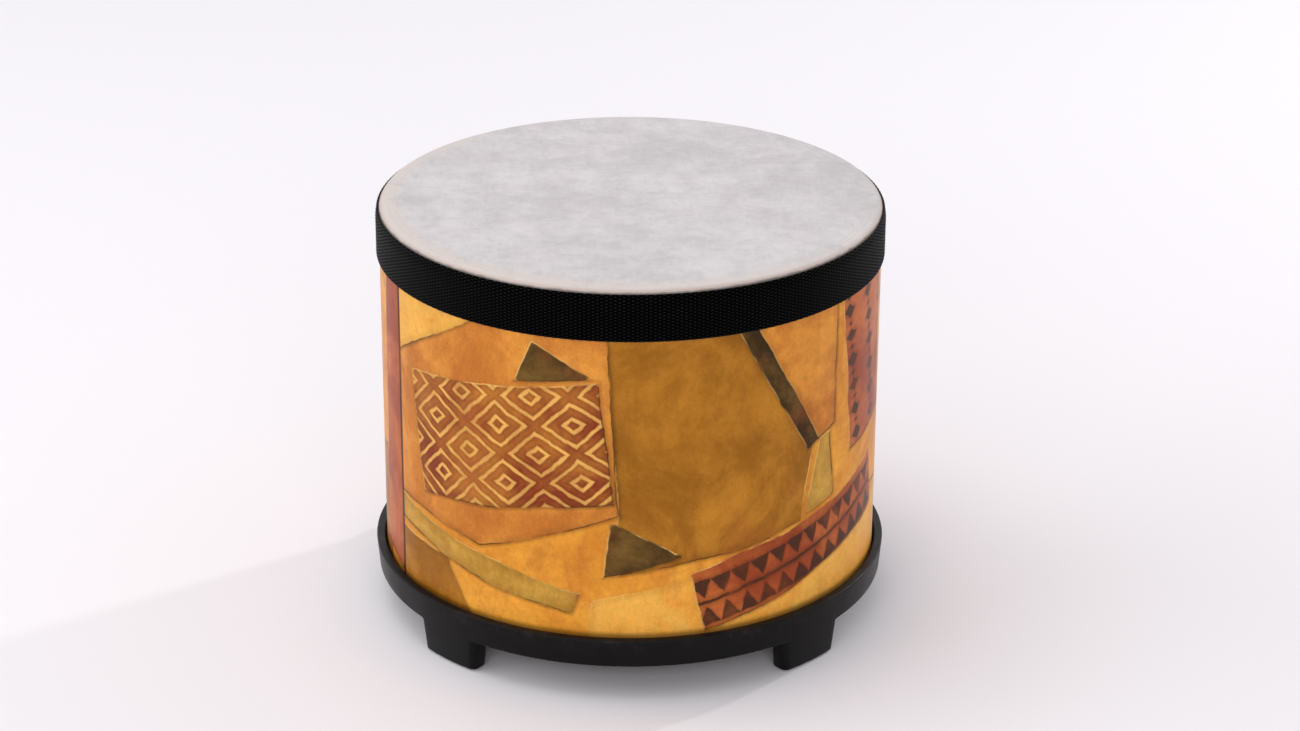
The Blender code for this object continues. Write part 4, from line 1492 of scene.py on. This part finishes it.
# %% [markdown]
# ## Fibre tube
# The tube is wound from strips of brown fibre board that spiral round it, so a shallow groove runs up the
# inside where the strips' edges meet. Its top edge is rounded for the film and bevelled inside. The groove
# could be painted on, but it catches the light, so it is a dip in the inner radius of a turned grid,
# wherever height less climb comes back to the strip's width.

# %% Tube surface
BEARING_BEVEL = 2.0 * MM
STRIP_WIDTH = 62 * MM
GROOVE_WIDTH = 1.6 * MM
GROOVE_DEPTH = 0.35 * MM
BORE_ROWS = 150


def tube_mesh():
    """Up the outside, over the bearing edge and down the inside, where the spiral groove is."""
    angle = full_turn(TURN_STEPS)
    bore = tube_radius - SHELL_WALL
    outside = np.concatenate([
        [(tube_radius, tube_bottom)],
        arc(tube_radius - BEARING_ROUND, tube_top - BEARING_ROUND, BEARING_ROUND, 0, 90, BEND_STEPS),
        [(bore + BEARING_BEVEL, tube_top)],
    ])
    heights = np.linspace(tube_top - BEARING_BEVEL, tube_bottom, BORE_ROWS)[:, None]
    wound = (heights / STRIP_WIDTH - angle / (2 * np.pi)) % 1.0
    from_groove = np.minimum(wound, 1 - wound) * STRIP_WIDTH
    bore_radius = bore + GROOVE_DEPTH * (1 - smooth_step(0, GROOVE_WIDTH / 2, from_groove))
    radius = np.concatenate([outside[:, :1] * np.ones_like(angle), bore_radius])
    height = np.concatenate([outside[:, 1:], heights])
    return skin("fibre_tube", polar(angle[None, :], radius, height), close_rows=True, close_columns=True)


holes = [screw_hole(base_bore, screw_tip + SEAT_GAP, foot) for foot in foot_angles]
bored_tube = carve(tube_mesh(), *holes)
print("the bored tube has", len(bored_tube.polygons), "faces")

# %% [markdown]
# The board is a mix of two browns in fibres that lie level round the tube, with small dark flecks and broad
# faint clouds. The fibres are a noise squeezed along Z, and they and the flecks also roughen the surface.

# %% Tube finish
FIBRE_DARK = paint(112, 78, 48)
FIBRE_LIGHT = paint(146, 106, 68)
FIBRE_FLECK = paint(78, 52, 30)
STRAND_STRETCH = (1.0, 1.0, 3.5)
STRAND_SPAN = (0.35, 0.65)
BOARD_CLOUD_FADE = (0.3, 0.7, 0.2)
FLECK_SPAN = (0.64, 0.74)
FLECK_SHARE = 0.5
BOARD_DEPTH = 0.12 * MM


def fibre_finish():
    """Brown fibre board: two browns in drawn-out fibres, with darker flecks."""
    fibre = Finish("brown_fibre", {"Roughness": 0.8, "Specular IOR Level": 0.2})
    place = fibre.place()
    cloud = fibre.noise(place, grain=18 * MM, detail=4)
    squeezed = fibre.stretched(place, STRAND_STRETCH)
    strand = fibre.noise(squeezed, grain=3 * MM, detail=4, roughness=0.65, seed=2)
    fleck = fibre.noise(place, grain=0.9 * MM, detail=2, seed=3)
    colour = fibre.blend(strand.step(*STRAND_SPAN), FIBRE_DARK, FIBRE_LIGHT)
    colour = fibre.shade(colour, cloud.fade(*BOARD_CLOUD_FADE))
    fibre.colour(fibre.blend(fleck.step(*FLECK_SPAN) * FLECK_SHARE, colour, FIBRE_FLECK))
    fibre.relief(strand * 0.5 + fleck * 0.5, BOARD_DEPTH)
    return fibre


put_on("fibre_tube", bored_tube, "drum_shell", fibre_finish())

# %% Update the view layer
bpy.context.view_layer.update()
